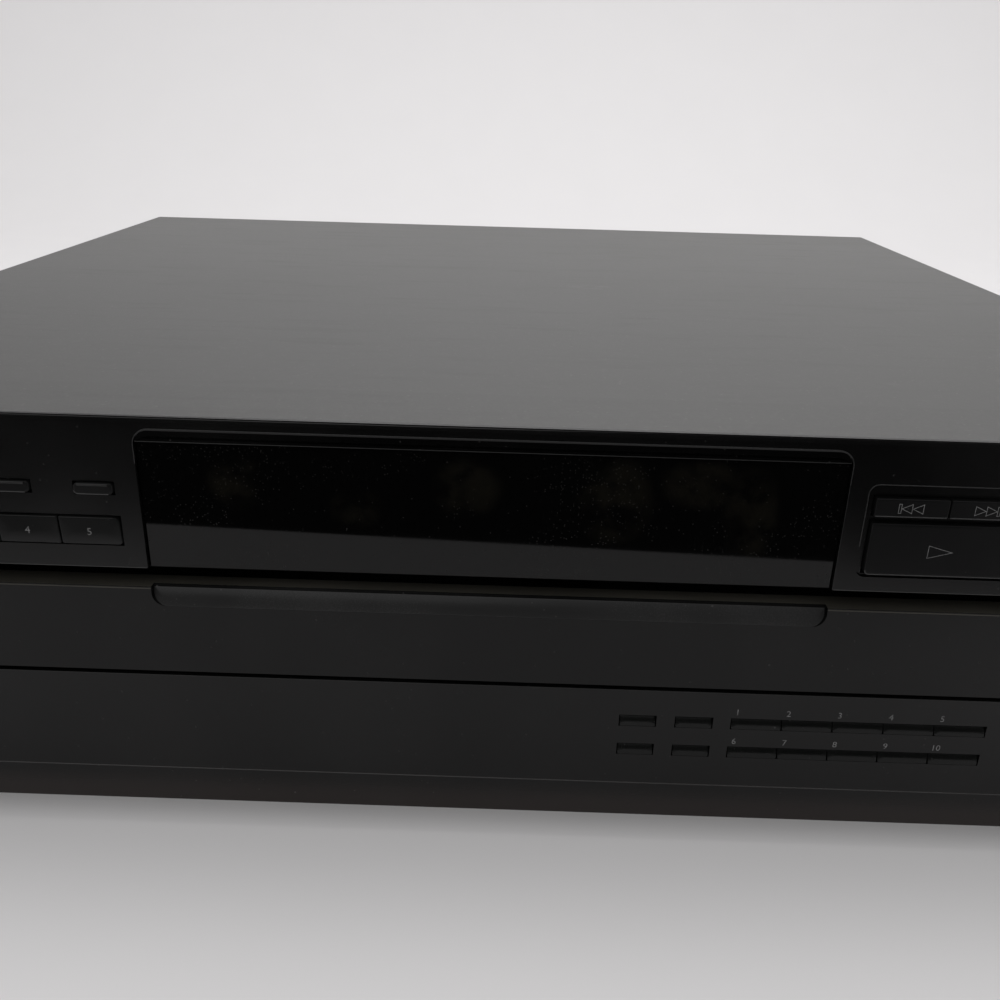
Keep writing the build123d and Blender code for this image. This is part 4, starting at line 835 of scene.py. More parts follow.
def rounded_rectangle(x: Pair, z: Pair, radii: Four, count: int = 9) -> np.ndarray:
    """The outline of a rectangle with rounded corners, clockwise as seen from the front.

    Each corner is a quarter circle about a centre one radius in from both sides.

    Args:
        x: its left and right.
        z: its bottom and top.
        radii: the corners' radii, from the upper left and clockwise.
        count: how many points a corner has.

    Returns:
        Points in X and Z, with Y at 0.
    """
    turn = quarter_turn(count)
    starts = (math.pi, math.pi / 2, 0.0, -math.pi / 2)
    corners = ((x[0], z[1], 1, -1), (x[1], z[1], -1, -1), (x[1], z[0], -1, 1), (x[0], z[0], 1, 1))
    parts = []
    for (corner_x, corner_z, in_x, in_z), start, radius in zip(corners, starts, radii):
        radius = max(radius, 0.01)
        angle = start - turn
        across = corner_x + in_x * radius + radius * np.cos(angle)
        up = corner_z + in_z * radius + radius * np.sin(angle)
        parts.append(np.stack([across, np.zeros_like(across), up], axis=1))
    return np.concatenate(parts)


def plate_rings(half: float, depths: Point, inset: float, shaped: float) -> np.ndarray:
    """The rings of a thin plate: its back, its side, and its face drawn in for a worn edge.

    Args:
        half: half its height.
        depths: how far behind the front its back, its side's front end and its face lie.
        inset: how far the face is drawn in.
        shaped: 1 where the side and the face take the cap's lean, else 0.

    Returns:
        (inset, depth, shaped) rows, from the back round to the face.
    """
    back, side, face = (FRONT_Y + depth for depth in depths)
    rows = [(half, back), (0.0, back), (0.0, side), (inset, face), (half, face)]
    return np.array([(*row, shaped) for row in rows])


def smooth_mesh(name: str, points: np.ndarray, faces: np.ndarray) -> bpy.types.Mesh:
    """A mesh that is shaded smooth.

    Args:
        name: its name.
        points: its points in metres, one row each.
        faces: point numbers of each face.

    Returns:
        The mesh.
    """
    mesh = bpy.data.meshes.new(name)
    mesh.from_pydata(points.tolist(), [], faces.tolist())
    mesh.validate()
    mesh.polygons.foreach_set("use_smooth", np.ones(len(mesh.polygons), bool))
    return mesh


def new_object(name: str, data: bpy.types.ID) -> bpy.types.Object:
    """A new object in the scene, at the origin.

    Args:
        name: its name.
        data: its mesh, lamp or camera.

    Returns:
        The object.
    """
    made = bpy.data.objects.new(name, data)
    bpy.context.scene.collection.objects.link(made)
    return made


@dataclass(frozen=True)
class Piece:
    """A visible piece of the object: its name, the CAD body that carries it, and its finish."""

    name: str
    body: str
    finish: Finish

    def dress(self, mesh: bpy.types.Mesh) -> bpy.types.Object:
        """Makes the piece from a mesh in metres.

        Args:
            mesh: the mesh.

        Returns:
            The piece, riding on its body.
        """
        mesh.materials.clear()
        mesh.materials.append(self.finish.material())
        made = new_object(self.name, mesh)
        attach(made, self.body)
        log.info("made %s on %s", self.name, self.body)
        return made

    def build(self, points: np.ndarray, faces: np.ndarray) -> bpy.types.Object:
        """Makes the piece from points in millimetres and each face's point numbers."""
        return self.dress(smooth_mesh(self.name, points * MM, faces))

    def strip(self, outline: np.ndarray, y: float, profile: np.ndarray) -> bpy.types.Object:
        """A closed strip: a closed profile carried round a closed outline at one depth.

        Args:
            outline: points in X and Z.
            y: the depth of the outline.
            profile: (outward, proud) pairs, clockwise.

        Returns:
            The piece.
        """
        points = carried_profile(outline + np.array([0.0, y, 0.0]), mitred_sides(outline), profile)
        return self.build(points, grid_faces(len(outline), len(profile), True, True))

    def bead(self, outline: np.ndarray, y: float, radius: float) -> None:
        """A thin half-round bead along an open line on the front.

        Its section is a half circle of points about the line, carried along it; the side at each point
        is square to the run from the point before to the point after.

        Args:
            outline: points in X and Z.
            y: the depth of the surface that it lies on.
            radius: its radius.
        """
        sides = outward_sides(np.gradient(outline, axis=0))
        turn = np.linspace(0.0, math.pi, 7)
        profile = radius * np.stack([-np.cos(turn), np.sin(turn)], axis=1)
        profile = np.concatenate([profile, [[radius, BEAD_FOOT], [-radius, BEAD_FOOT]]])
        points = carried_profile(outline + np.array([0.0, y, 0.0]), sides, profile)
        self.build(points, grid_faces(len(outline), len(profile), False, True))

    def rail(self, span: Pair, count: int, y: np.ndarray, z: np.ndarray) -> None:
        """A closed section carried straight across.

        Args:
            span: its left and right ends.
            count: how many sections it has.
            y: the section's depths.
            z: the section's heights.
        """
        points = straight_grid(np.linspace(*span, count), y, z)
        made = self.build(points, grid_faces(count, len(y), False, True)[:, ::-1])
        made.data.set_sharp_from_angle(angle=ROUND_FOLD)

    def cap(
        self,
        outline: np.ndarray,
        rings: np.ndarray,
        fold: float,
        lean: float = 0.0,
        droop: float = 0.0,
        bend: float = 1.0,
    ) -> bpy.types.Object:
        """A closed cap whose rings shrink from one outline towards its own middle line.

        Every ring is the outline drawn in by its first number, at the depth of its second; the first
        and the last have shrunk to the middle line. Where its third number is 1, a point then goes
        back by the lean times its height up the cap, from 0 to 1, to the power of the bend, and by the
        droop times the square of how far it lies below the middle, from 0 to 1.

        Args:
            outline: the widest ring, points in X and Z, clockwise.
            rings: (inset, depth, shaped) rows, from the back round to the front.
            fold: the angle above which an edge stays sharp.
            lean: how much deeper the front's top is than its bottom.
            droop: how far the front's lower edge curves back.
            bend: 1 for a flat lean; more curves it, with a steeper top.

        Returns:
            The piece.
        """
        middle = (outline.min(axis=0) + outline.max(axis=0)) / 2
        half = (outline.max(axis=0) - outline.min(axis=0)) / 2
        inset = np.minimum(rings[:, :1], half[2])
        x = middle[0] + (outline[None, :, 0] - middle[0]) * (1.0 - inset / half[0])
        z = middle[2] + (outline[None, :, 2] - middle[2]) * (1.0 - inset / half[2])
        up = (z - middle[2]) / half[2]
        rise = np.clip((1.0 + up) / 2, 0.0, 1.0) ** bend
        y = rings[:, 1:2] + rings[:, 2:3] * (lean * rise + droop * np.minimum(up, 0.0) ** 2)
        points = np.stack([x, y, z], axis=-1).reshape(-1, 3)
        made = self.build(points, grid_faces(len(rings), len(outline), False, True))
        made.data.set_sharp_from_angle(angle=fold)
        return made


@dataclass(frozen=True)
class SoftEdges:
    """A copy of a CAD node with its sharp edges worn round, which stands for the node.

    The rounding's width is in millimetres, the two angles above which an edge is rounded or stays
    sharp are in degrees, and corners merge within a distance in metres.
    """

    node: str
    finish: Finish
    width: float
    segments: int = 2
    bevelled: float = 40.0
    shaded_sharp: float = 35.0
    merged: float = 1e-6

    def build(self, frame: dict) -> None:
        """Copies, merges and rounds the node.
        """
        source = frame["nodes"][self.node]
        mesh = source.data.copy()
        self.merge(mesh)
        piece = Piece(f"{self.node}_shell", body_of(source)[0], self.finish).dress(mesh)
        bevel = piece.modifiers.new("edges", "BEVEL")
        bevel.width = self.width * MM
        bevel.segments = self.segments
        bevel.limit_method = "ANGLE"
        bevel.angle_limit = math.radians(self.bevelled)
        bevel.use_clamp_overlap = False
        weighted = piece.modifiers.new("flat_faces_stay_flat", "WEIGHTED_NORMAL")
        weighted.keep_sharp = True
        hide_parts(self.node)

    def merge(self, mesh: bpy.types.Mesh) -> None:
        """Merges the loose triangles' corners, and marks which edges stay sharp.

        Args:
            mesh: the node's mesh.
        """
        work = bmesh.new()
        work.from_mesh(mesh)
        bmesh.ops.remove_doubles(work, verts=work.verts, dist=self.merged)
        work.to_mesh(mesh)
        work.free()
        if "custom_normal" in mesh.attributes:
            mesh.attributes.remove(mesh.attributes["custom_normal"])
        mesh.shade_smooth()
        mesh.set_sharp_from_angle(angle=math.radians(self.shaded_sharp))


# Marks printed on the front


class Sign(Enum):
    """The transport signs that keys carry."""

    SKIP_BACK = "skip_back"
    SKIP_FORWARD = "skip_forward"
    PAUSE = "pause"
    STOP = "stop"
    PLAY = "play"
    OPEN_CLOSE = "open_close"


def sign_outlines(sign: Sign) -> list[list[Pair]]:
    """The closed outlines of a sign, clockwise, in a space 2 wide and 1 high about its middle.

    Args:
        sign: the transport sign.

    Returns:
        The corners of each outline.
    """
    to_left = [(0.0, 0.0), (1.06, 0.5), (1.06, -0.5)]
    to_right = [(-x, z) for x, z in reversed(to_left)]
    bar = [(-0.13, -0.5), (-0.13, 0.5), (0.13, 0.5), (0.13, -0.5)]

    def moved(outline: list[Pair], x: float) -> list[Pair]:
        """The outline moved sideways."""
        return [(a + x, b) for a, b in outline]

    return {
        Sign.SKIP_BACK: [moved(bar, -1.12), moved(to_left, -0.95), moved(to_left, 0.19)],
        Sign.SKIP_FORWARD: [moved(to_right, -0.19), moved(to_right, 0.95), moved(bar, 1.12)],
        Sign.PAUSE: [moved(bar, -0.3), moved(bar, 0.3)],
        Sign.STOP: [[(-0.5, -0.5), (-0.5, 0.5), (0.5, 0.5), (0.5, -0.5)]],
        Sign.PLAY: [[(-0.88, -0.5), (-0.88, 0.5), (0.88, 0.0)]],
        Sign.OPEN_CLOSE: [
            [(-0.7, -0.15), (0.0, 0.5), (0.7, -0.15)],
            [(-0.7, -0.5), (-0.7, -0.3), (0.7, -0.3), (0.7, -0.5)],
        ],
    }[sign]


@dataclass(frozen=True)
class Lettering:
    """Numbers and signs printed on the front, each a thin layer of ink."""

    thickness: float = 0.03
    line: float = 0.15
    digit_share: float = 0.72

    def number(self, piece: Piece, digits: str, place: Point, height: float) -> None:
        """Prints a number.

        Args:
            piece: the print's name, body and ink.
            digits: the number.
            place: its middle in X, the depth of the surface under it, and its bottom in Z.
            height: its height.
        """
        curve = bpy.data.curves.new(piece.name, "FONT")
        curve.body = digits
        curve.size = height / self.digit_share
        curve.align_x = "CENTER"
        curve.extrude = self.thickness / 2
        curve.resolution_u = 3
        lettering = bpy.data.objects.new(piece.name, curve)
        mesh = bpy.data.meshes.new_from_object(lettering)
        bpy.data.objects.remove(lettering)
        flat = np.empty(len(mesh.vertices) * 3)
        mesh.vertices.foreach_get("co", flat)
        right, up, out = flat.reshape(-1, 3).T
        points = np.stack([right + place[0], place[1] - self.thickness / 2 - out, up + place[2]], axis=1)
        mesh.vertices.foreach_set("co", (points * MM).ravel())
        piece.dress(mesh)

    def sign(self, piece: Piece, sign: Sign, place: Point, height: float) -> None:
        """Prints a transport sign as thin outlines, joined into one piece.

        Args:
            piece: the print's name, body and ink.
            sign: which sign it is.
            place: its middle in X, the depth of the surface under it, and its middle in Z.
            height: its height.
        """
        half = self.line / 2
        profile = np.array([(-half, 0.0), (-half, self.thickness), (half, self.thickness), (half, 0.0)])
        strips = []
        for part, corners in enumerate(sign_outlines(sign)):
            flat = np.array(corners) * height
            outline = np.stack([flat[:, 0] + place[0], np.zeros(len(flat)), flat[:, 1] + place[2]], axis=1)
            strips.append(replace(piece, name=f"{piece.name}_{part}").strip(outline, place[1], profile))
        bpy.context.view_layer.update()
        with bpy.context.temp_override(
            active_object=strips[0], selected_editable_objects=strips, selected_objects=strips
        ):
            bpy.ops.object.join()
        strips[0].name = piece.name
        strips[0].data.name = piece.name


# The object's sub-assemblies


@dataclass
class Casing:
    """The steel cover's front edge with a painted highlight along one stretch, and the feet."""

    edge: float = 0.35
    edge_half: float = 212.6
    edge_height: float = 124.28
    edge_y: float = 1.32
    # Where the painted highlight runs along the edge, how far above the edge it lies, and its radius.
    worn_run: Pair = (-8.0, 36.0)
    worn_lift: float = 0.06
    worn_edge: float = 0.31
    foot_edge: float = 0.6

    def build(self, frame: dict) -> None:
        """Rounds the cover's front edge, lays a painted highlight on one stretch of it, and rounds the feet.
        """
        depth = FRONT_Y + self.edge_y
        line = level_line((-self.edge_half, self.edge_half), self.edge_height, 120)
        Piece("cover_edge", "casing", COVER).bead(line, depth, self.edge)
        # A near-white bead on one stretch of the edge: a painted highlight.
        line = level_line(self.worn_run, self.edge_height + self.worn_lift, 60)
        Piece("cover_edge_highlight", "casing", EDGE_HIGHLIGHT).bead(line, depth, self.worn_edge)
        SoftEdges("feet", FEET, self.foot_edge).build(frame)


@dataclass
class FrontFace:
    """The moulded front with its glossy top lip, display window and recess lines."""

    lip_top: float = 124.65
    lip_bottom: float = 123.2
    lip_back: float = 1.25
    lip_round: float = 0.8
    lip_proud: float = 0.12
    lip_foot: float = 0.4
    half_width: float = 211.5
    outer_half: float = 213.5
    recess_half: float = 88.4
    recess_top: float = 121.5
    recess_corner: float = 4.2
    side_line: float = 5.0
    window_top: float = 118.0
    window_bottom: float = 83.4
    lower_top: float = 51.2
    cluster_x: Pair = (93.45, 172.0)
    cluster_z: Pair = (87.5, 112.8)
    cluster_corner: float = 2.5
    cluster_side: float = 6.0
    plate_gap: float = 0.25
    plate_depths: Point = (0.9, 0.3, 0.18)
    plate_edge: float = 0.12
    glass_edge: float = 0.25
    small_edge: float = 0.3
    sunk: float = 0.04

    def build(self, frame: dict) -> None:
        """Makes the front's pieces.
        """
        for node, finish, width in (
            ("display_window", GLASS, self.glass_edge),
            ("headphone_jack", JACKS, self.small_edge),
            ("level_knob", KEYS, self.small_edge),
        ):
            SoftEdges(node, finish, width).build(frame)
        self.lip()
        self.surround()
        self.cluster_rim()
        self.straight_lines()

    @staticmethod
    def line(name: str, outline: np.ndarray, radius: float, finish: Finish, sunk: float = 0.0) -> None:
        """A fine moulded line on the casing's front.

        Args:
            name: its name.
            outline: points in X and Z.
            radius: its radius.
            finish: its finish.
            sunk: how far behind the front it lies.
        """
        Piece(name, "casing", finish).bead(outline, FRONT_Y + sunk, radius)

    def lip(self) -> None:
        """A glossy strip along the top of the front, with a rounded upper edge.

        Its section goes up the face, round a quarter circle, and back under the cover's edge.
        """
        face = FRONT_Y - self.lip_proud
        top = self.lip_top + 0.05
        arc_y, arc_z = round_over(face, top, self.lip_round, 9)
        y = np.concatenate([[face + self.lip_foot, face], arc_y, [FRONT_Y + self.lip_back] * 2])
        z = np.concatenate([[self.lip_bottom] * 2, arc_z, [top, self.lip_bottom]])
        Piece("front_lip", "casing", GLOSS).rail((-self.half_width, self.half_width), 60, y, z)

    def surround(self) -> None:
        """The dark plate over the window, painted shade for the recess floor; the recess's lines; and the
        line between plate and window.
        """
        half = self.recess_half - self.plate_gap
        low = self.window_top + 0.05
        high = self.recess_top - self.plate_gap
        corner = self.recess_corner
        outline = rounded_rectangle((-half, half), (low, high), (corner, corner, 0.0, 0.0))
        rings = plate_rings((high - low) / 2, self.plate_depths, self.plate_edge, 0.0)
        Piece("window_surround", "casing", SHADED_SURROUND).cap(outline, rings, PLATE_FOLD)
        self.recess_lines()
        self.line("window_line", level_line((0.3 - half, half - 0.3), low + 0.1, 80), 0.12, RIM, 0.2)

    def recess_lines(self) -> None:
        """The moulded line along the top and the corners of the recess, and a finer one down its right, both
        painted lighter as highlights.
        """
        edge = self.recess_half + 0.05
        corner = self.recess_corner
        span = (self.window_bottom + 0.2, self.recess_top)
        frame = rounded_rectangle((-edge, edge), span, (corner, corner, 0.0, 0.0))
        run = len(frame) // 2
        below = np.array([0.0, 0.0, -self.side_line])
        start = frame[run - 1]
        line = np.concatenate([[frame[0] + below], frame[:run], [start + below]])
        self.line("recess_line", line, 0.10, LINE)
        down = np.linspace(self.side_line + 0.3, start[2] - self.window_bottom - 0.3, 40)
        side = start + np.stack([0.0 * down, 0.0 * down, -down], axis=1)
        self.line("recess_side", side, 0.06, RIM)

    def straight_lines(self) -> None:
        """Light lines across the front: painted highlights on the edges under the upper face and atop the
        lower one, and a light line along the crease.
        """
        outer = self.outer_half
        inner = self.recess_half + 0.3
        upper = self.window_bottom + 0.1
        for name, span, height, radius, finish in (
            ("upper_edge_left", (-outer, -inner), upper, 0.10, EDGE),
            ("upper_edge_right", (inner, outer), upper, 0.14, EDGE),
            ("lower_edge", (-outer, outer), self.lower_top - 0.12, 0.12, RIM),
            ("crease_line", (-outer, outer), CREASE, 0.13, EDGE),
        ):
            self.line(name, level_line(span, height, 100), radius, finish, self.sunk)

    def cluster_rim(self) -> None:
        """The moulded line along the top and left of the transport keys' recess, painted lighter as a
        highlight.
        """
        (left, right), (bottom, top) = self.cluster_x, self.cluster_z
        frame = rounded_rectangle((left - 0.1, right + 0.1), (bottom, top + 0.1), (self.cluster_corner,) * 4)
        low_left = frame[-1] + np.array([0.0, 0.0, self.cluster_side])
        self.line("cluster_line", np.concatenate([[low_left], frame[: len(frame) // 2]]), 0.13, LINE)


@dataclass(frozen=True)
class KeyStyle:
    """How one kind of key is shaped and finished."""

    finish: Moulding = KEYS
    corner: float = 0.35
    edge: float = 0.35
    lean: float = 0.0
    bend: float = 1.0
    droop: float = 0.0
    top_line: float = 0.0
    low_line: float = 0.0
    drop: float = 0.0


class KeyKind(Enum):
    """The kinds of key on the front."""

    DISC = KeyStyle(DISC_KEYS, corner=0.3, edge=0.3, droop=0.55, top_line=0.10)
    MODE = KeyStyle(corner=1.1, edge=0.5, top_line=0.36, low_line=0.14)
    TRANSPORT = KeyStyle(corner=0.35, edge=0.35, low_line=0.15)
    ROW = KeyStyle(ROW_KEYS, corner=0.4, edge=0.12, lean=1.15, bend=3.0, drop=0.2)
    SINGLE = KeyStyle(corner=1.2, edge=0.5, low_line=0.12)


KINDS = {
    "disc_skip_key": KeyKind.SINGLE,
    "disc": KeyKind.DISC,
    "repeat": KeyKind.MODE,
    "random": KeyKind.MODE,
    "function": KeyKind.ROW,
    "number": KeyKind.ROW,
    "power": KeyKind.SINGLE,
}
KEY_CORNERS = {
    "disc_1_key": (1.6, 0.3, 0.3, 1.0),
    "disc_5_key": (0.3, 1.6, 1.0, 0.3),
    "play_key": (0.35, 0.35, 0.35, 1.3),
}


@dataclass
class KeyField:
    """All the keys, with the numbers and signs beside and on them."""

    proud: float = 0.8
    flange: float = 0.7
    cap_depth: float = 4.4
    line_gap: float = 0.05
    line_sunk: float = 0.06
    digit_height: float = 1.9
    digits_rows: Pair = (44.2, 34.7)
    number_left: float = 67.5
    number_pitch: float = 13.93
    number_shift: float = 1.3
    disc_right: float = -94.0
    disc_pitch: float = 15.8
    disc_digits: float = 92.8
    disc_digit_height: float = 2.0
    ink: Lettering = field(default_factory=Lettering)

    def build(self, frame: dict) -> None:
        """Makes every key and prints its mark.
        """
        for name, node in frame["nodes"].items():
            if name.endswith("_key"):
                self.key(name, body_of(node)[0])
        self.number_rows()
        self.disc_numbers()
        self.transport_signs()

    @staticmethod
    def kind(name: str) -> KeyKind:
        """The kind of a key, from its whole name or its first word."""
        return KINDS.get(name) or KINDS.get(name.split("_")[0], KeyKind.TRANSPORT)

    def key(self, name: str, body: str) -> None:
        """One key: a closed cap with a worn edge, in the place that its CAD solid holds.

        The worn edge is a quarter circle of rings about the cap's outline.

        Args:
            name: the CAD node's name.
            body: the body that carries it.
        """
        style = self.kind(name).value
        low, high = (np.array(corner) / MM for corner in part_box(name))
        x = (low[0], high[0])
        z = (low[2] + self.flange - style.drop, high[2] - self.flange)
        radii = KEY_CORNERS.get(name, (style.corner,) * 4)
        outline = rounded_rectangle(x, z, radii)
        half = (z[1] - z[0]) / 2
        turn = quarter_turn(5)
        arc = np.stack([style.edge * (1 - np.cos(turn)), low[1] + style.edge * (1 - np.sin(turn))], axis=1)
        flat = np.stack([np.linspace(style.edge, half, 13)[1:], np.full(12, low[1])], axis=1)
        front = np.concatenate([arc, flat])
        front = np.concatenate([front, np.ones((len(front), 1))], axis=1)
        back = np.array([(half, low[1] + self.cap_depth, 0.0), (0.0, low[1] + self.cap_depth, 0.0)])
        rings = np.concatenate([back, front])
        shape = (style.lean, style.droop, style.bend)
        cap = Piece(f"{name}_cap", body, style.finish).cap(outline, rings, ROUND_FOLD, *shape)
        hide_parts(name)
        self.lines(name, style, radii, (x, z), low[1], body)

    def lines(
        self, name: str, style: KeyStyle, radii: Four, span: tuple[Pair, Pair], face: float, body: str
    ) -> None:
        """The light lines along a key's upper and lower edges: thin beads painted lighter as highlights.

        Args:
            name: the key's name.
            style: its style.
            radii: its corners' radii.
            span: its ranges in X and Z.
            face: its face's depth.
            body: the body that carries it.
        """
        (left, right), (bottom, top) = span
        surface = face + self.line_sunk
        if style.low_line:
            inset = style.low_line + self.line_gap
            turn = np.linspace(math.pi, 1.5 * math.pi, 8)
            radius = max(radii[3] - inset, 0.05)
            x, z = left + inset + radius, bottom + inset + radius
            arc = np.stack([x + radius * np.cos(turn), np.zeros(8), z + radius * np.sin(turn)], axis=1)
            run = level_line((x + 0.5, right - radii[2]), bottom + inset, 24)
            line = np.concatenate([arc, run])[::-1]
            Piece(f"{name}_low_line", body, EDGE).bead(line, surface, style.low_line)
        if style.top_line:
            height = top - style.top_line - self.line_gap
            line = level_line((left + radii[0], right - radii[1]), height, 24)
            Piece(f"{name}_top_line", body, RIM).bead(line, surface, style.top_line)

    def number_rows(self) -> None:
        """The numbers 1 to 10 above the two rows of number keys."""
        for number in range(1, 11):
            row, column = divmod(number - 1, 5)
            x = self.number_left + self.number_pitch * column + self.number_shift
            place = (x, FRONT_Y, self.digits_rows[row])
            self.ink.number(Piece(f"mark_{number}", "casing", INK), str(number), place, self.digit_height)

    def disc_numbers(self) -> None:
        """The numbers 1 to 5 on the disc keys."""
        for number in range(1, 6):
            right = self.disc_right - self.disc_pitch * (5 - number)
            place = (right - self.disc_pitch / 2, FRONT_Y - self.proud, self.disc_digits)
            piece = Piece(f"disc_mark_{number}", f"disc_{number}_key_body", INK)
            self.ink.number(piece, str(number), place, self.disc_digit_height)

    def transport_signs(self) -> None:
        """The signs on the transport keys, each with its middle in X and Z and its height."""
        places = {
            Sign.SKIP_BACK: (104.1, 107.0, 2.45),
            Sign.SKIP_FORWARD: (123.0, 107.0, 2.45),
            Sign.PAUSE: (141.7, 107.0, 2.45),
            Sign.STOP: (160.5, 107.0, 2.45),
            Sign.PLAY: (113.5, 95.4, 3.45),
            Sign.OPEN_CLOSE: (151.3, 95.5, 3.6),
        }
        for sign, (x, z, height) in places.items():
            piece = Piece(f"{sign.value}_sign", f"{sign.value}_key_body", INK)
            self.ink.sign(piece, sign, (x, FRONT_Y - self.proud, z), height)


@dataclass
class Drawer:
    """The drawer's front, with its lighter finger band, and the ledge along its top, whose light colour is
    painted light.
    """

    top: float = 77.9
    half_width: float = 213.2
    band_half: float = 88.1
    band_bottom: float = 72.4
    band_lean: float = 2.2
    band_corner: float = 3.7
    band_gap: float = 0.7
    band_depths: Point = (0.4, 0.02, -0.06)
    band_edge: float = 0.15
    rim_depth: float = 7.0
    rim_radius: float = 0.45
    rim_proud: float = 0.04
    rim_foot: float = 0.3
    rim_drops: Pair = (0.6, 0.66)

    def build(self) -> None:
        """Makes the drawer's pieces."""
        self.finger_band()
        inner = self.band_half + 0.2
        self.rim("left", (-self.half_width, -inner), 0.0)
        self.rim("middle", (-inner, inner), self.band_lean)
        self.rim("right", (inner, self.half_width), 0.0)

    def finger_band(self) -> None:
        """The finger band: a thin plate laid on the sloped scoop, with its lower corners rounded."""
        low, high = self.band_bottom + 0.05, self.top - self.band_gap
        corners = (0.0, 0.0, self.band_corner, self.band_corner)
        outline = rounded_rectangle((-self.band_half, self.band_half), (low, high), corners, 13)
        rings = plate_rings((high - low) / 2, self.band_depths, self.band_edge, 1.0)
        lean = self.band_lean * (high - self.band_bottom) / (self.top - self.band_bottom)
        Piece("finger_band", "drawer", SCOOP).cap(outline, rings, PLATE_FOLD, lean)

    def rim(self, part: str, span: Pair, setback: float) -> None:
        """The rounded upper edge of the drawer's face with the ledge behind it.

        Its section comes up the face, round a quarter circle, and back along the top, past its step.

        Args:
            part: the word for its name.
            span: its left and right ends.
            setback: how far behind the front it lies.
        """
        face = FRONT_Y + setback - self.rim_proud
        top = self.top + self.rim_proud
        arc_y, arc_z = round_over(face, top, self.rim_radius, 8)
        front_drop, rear_drop = self.rim_drops
        y = np.concatenate([[face + self.rim_foot, face], arc_y, [FRONT_Y + self.rim_depth] * 2])
        z = np.concatenate([[top - front_drop] * 2, arc_z, [top, top - rear_drop]])
        # The rim and the ledge take a colour that is painted light, as if lit from above.
        Piece(f"drawer_rim_{part}", "drawer", LIT_LEDGE).rail(span, 30, y, z)


# The picture


@dataclass
class Eye:
    """The camera, at the photograph's place and angle, in millimetres and radians."""

    place: Point = (4.112, -416.970, 199.110)
    yaw: float = -0.00827
    pitch: float = 0.3947
    roll: float = 0.02829
    focal_pixels: float = 973.92
    picture: float = 1000.0
    sensor: float = 36.0

    def build(self) -> None:
        """Makes the camera; its axes are worked out from yaw, then pitch down, then roll."""
        level = math.cos(self.pitch)
        ahead = Vector((math.sin(self.yaw) * level, math.cos(self.yaw) * level, -math.sin(self.pitch)))
        side = Vector((math.cos(self.yaw), -math.sin(self.yaw), 0.0))
        up = side.cross(ahead)
        right = math.cos(self.roll) * side + math.sin(self.roll) * up
        top = math.cos(self.roll) * up - math.sin(self.roll) * side
        data = bpy.data.cameras.new("camera")
        data.sensor_width = self.sensor
        data.lens = self.focal_pixels / self.picture * self.sensor
        data.clip_start = 0.01
        data.clip_end = 50.0
        camera = new_object("camera", data)
        turn = Matrix((right, top, -ahead)).transposed()
        camera.matrix_world = Matrix.Translation(Vector(self.place) * MM) @ turn.to_4x4()
        bpy.context.scene.camera = camera


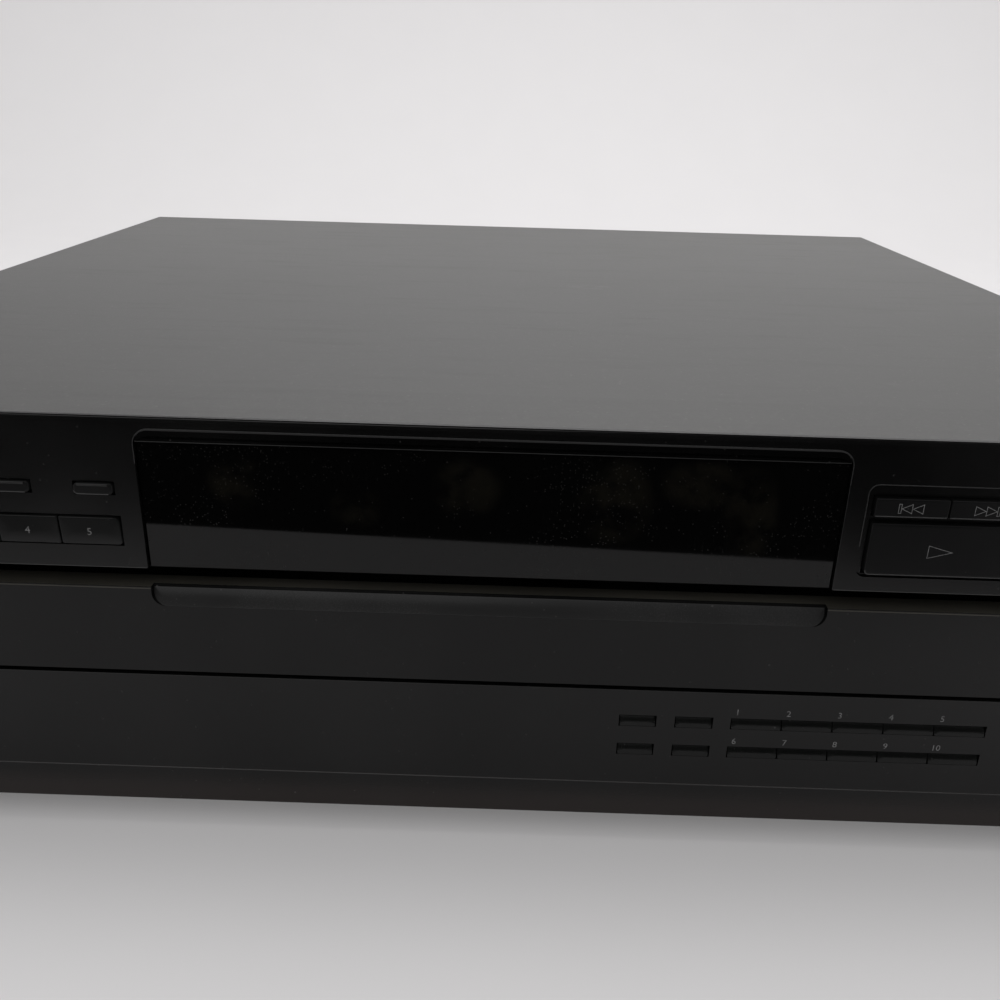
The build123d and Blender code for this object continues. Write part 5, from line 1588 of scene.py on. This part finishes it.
@dataclass
class Studio:
    """A pale floor that sweeps up into a backdrop, soft lamps, and dark flags for the front's gloss."""

    floor_front: float = -3.0
    wall: float = 1.45
    sweep: float = 0.5
    height: float = 2.6
    half_width: float = 9.0
    flag_reach: float = 3.0
    flag_front: Pair = (-0.419, -0.352)
    flag_half: float = 0.6
    flag_level: float = 0.002
    flag_top: float = 2.5
    key_power: float = 26.0
    fill_power: float = 5.0
    wall_power: float = 5.0
    sky: float = 0.55
    beyond: float = 0.79

    def build(self) -> None:
        """Makes the floor, the flags, the lamps and the world."""
        bpy.context.scene.view_settings.view_transform = "Standard"
        self.backdrop()
        self.flags()
        self.lamp("key_lamp", (0.3, 0.55, 1.8), (0.0, -0.05, 0.05), (2.2, 1.6), self.key_power)
        self.lamp("fill_lamp", (-0.6, -1.3, 1.2), (0.0, -0.2, 0.0), (1.8, 1.2), self.fill_power)
        self.lamp("wall_lamp", (0.3, 0.3, 2.2), (0.2, 1.45, 0.7), (2.2, 0.8), self.wall_power)
        self.world()

    def backdrop(self) -> None:
        """The floor and backdrop: a flat run, a quarter circle and an upright run, carried across."""
        turn = quarter_turn(24)
        bend = self.wall - self.sweep + self.sweep * np.sin(turn)
        y = np.concatenate([[self.floor_front], bend, [self.wall]])
        z = np.concatenate([[0.0], self.sweep * (1 - np.cos(turn)), [self.height]])
        points = straight_grid(np.array([-self.half_width, self.half_width]), y, z)
        self.stand("floor", points, grid_faces(2, len(y))[:, ::-1], FLOOR.material())

    def flags(self) -> None:
        """Black cards that only gloss sees: low in front of the object, and upright beyond."""
        graph = Graph(bpy.data.materials.new("black_flag"))
        black = graph.finish(Base_Color=grey(0.0), Roughness=1.0, Specular_IOR_Level=0.0)
        half, far, level, high = self.flag_reach, self.floor_front, self.flag_level, self.flag_top
        left, right = self.flag_front
        edge = [(half, right), (self.flag_half, right), (-self.flag_half, left), (-half, left)]
        low = [(-half, far, level), (half, far, level), *((x, y, level) for x, y in edge)]
        upright = [(-half, far, 0.0), (half, far, 0.0), (half, far, high), (-half, far, high)]
        for name, outline in (("low_flag", low), ("upright_flag", upright)):
            flag = self.stand(name, np.array(outline), np.arange(len(outline))[None, :], black)
            for ray in ("camera", "diffuse", "shadow", "transmission"):
                setattr(flag, f"visible_{ray}", False)

    @staticmethod
    def stand(
        name: str, points: np.ndarray, faces: np.ndarray, material: bpy.types.Material
    ) -> bpy.types.Object:
        """A piece of the studio.

        Args:
            name: its name.
            points: its points in metres, one row each.
            faces: point numbers of each face.
            material: its material.

        Returns:
            The piece.
        """
        made = new_object(name, smooth_mesh(name, points, faces))
        made.data.materials.append(material)
        return made

    @staticmethod
    def lamp(name: str, place: Point, target: Point, size: Pair, power: float) -> None:
        """A soft rectangular lamp.

        Args:
            name: the lamp's name.
            place: where it stands, in metres.
            target: what it points at.
            size: its width and height.
            power: its strength in watts.
        """
        data = bpy.data.lights.new(name, "AREA")
        data.shape = "RECTANGLE"
        data.size, data.size_y = size
        data.energy = power
        made = new_object(name, data)
        made.location = place
        made.rotation_euler = (Vector(target) - Vector(place)).to_track_quat("-Z", "Y").to_euler()

    def world(self) -> None:
        """Even soft light, and the pale background where the camera looks past the backdrop."""
        bpy.context.scene.world = bpy.data.worlds.new("studio")
        graph = Graph(bpy.context.scene.world)
        seen = graph.node("LightPath", output="Is Camera Ray")
        strength = graph.node("Mix", {"Factor": seen, "A": self.sky, "B": self.beyond}, "Result")
        light = graph.node("Background", {"Color": grey(1.0), "Strength": strength})
        graph.node("OutputWorld", {"Surface": light})


def dress_nodes(frame: dict) -> None:
    """Gives every CAD node that still shows its own finish, or the deck's plastic.
    """
    for name, node in frame["nodes"].items():
        if node.hide_render:
            continue
        finish = NODE_FINISHES.get(name, DECK)
        if not node.material_slots:
            node.data.materials.append(finish.material())
        for place in node.material_slots:
            place.material = finish.material()
        log.info("dressed %s as %s", name, finish.name)


def corners(box: tuple[Vector, Vector]) -> list[list[float]]:
    """A box's two corners as plain lists."""
    return [list(corner) for corner in box]


def main() -> None:
    """Builds the scene around the frame."""
    logging.basicConfig(level=logging.INFO, format="%(message)s")
    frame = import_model()
    Eye().build()
    Studio().build()
    Casing().build(frame)
    FrontFace().build(frame)
    KeyField().build(frame)
    Drawer().build()
    dress_nodes(frame)


if __name__ == "__main__":
    main()
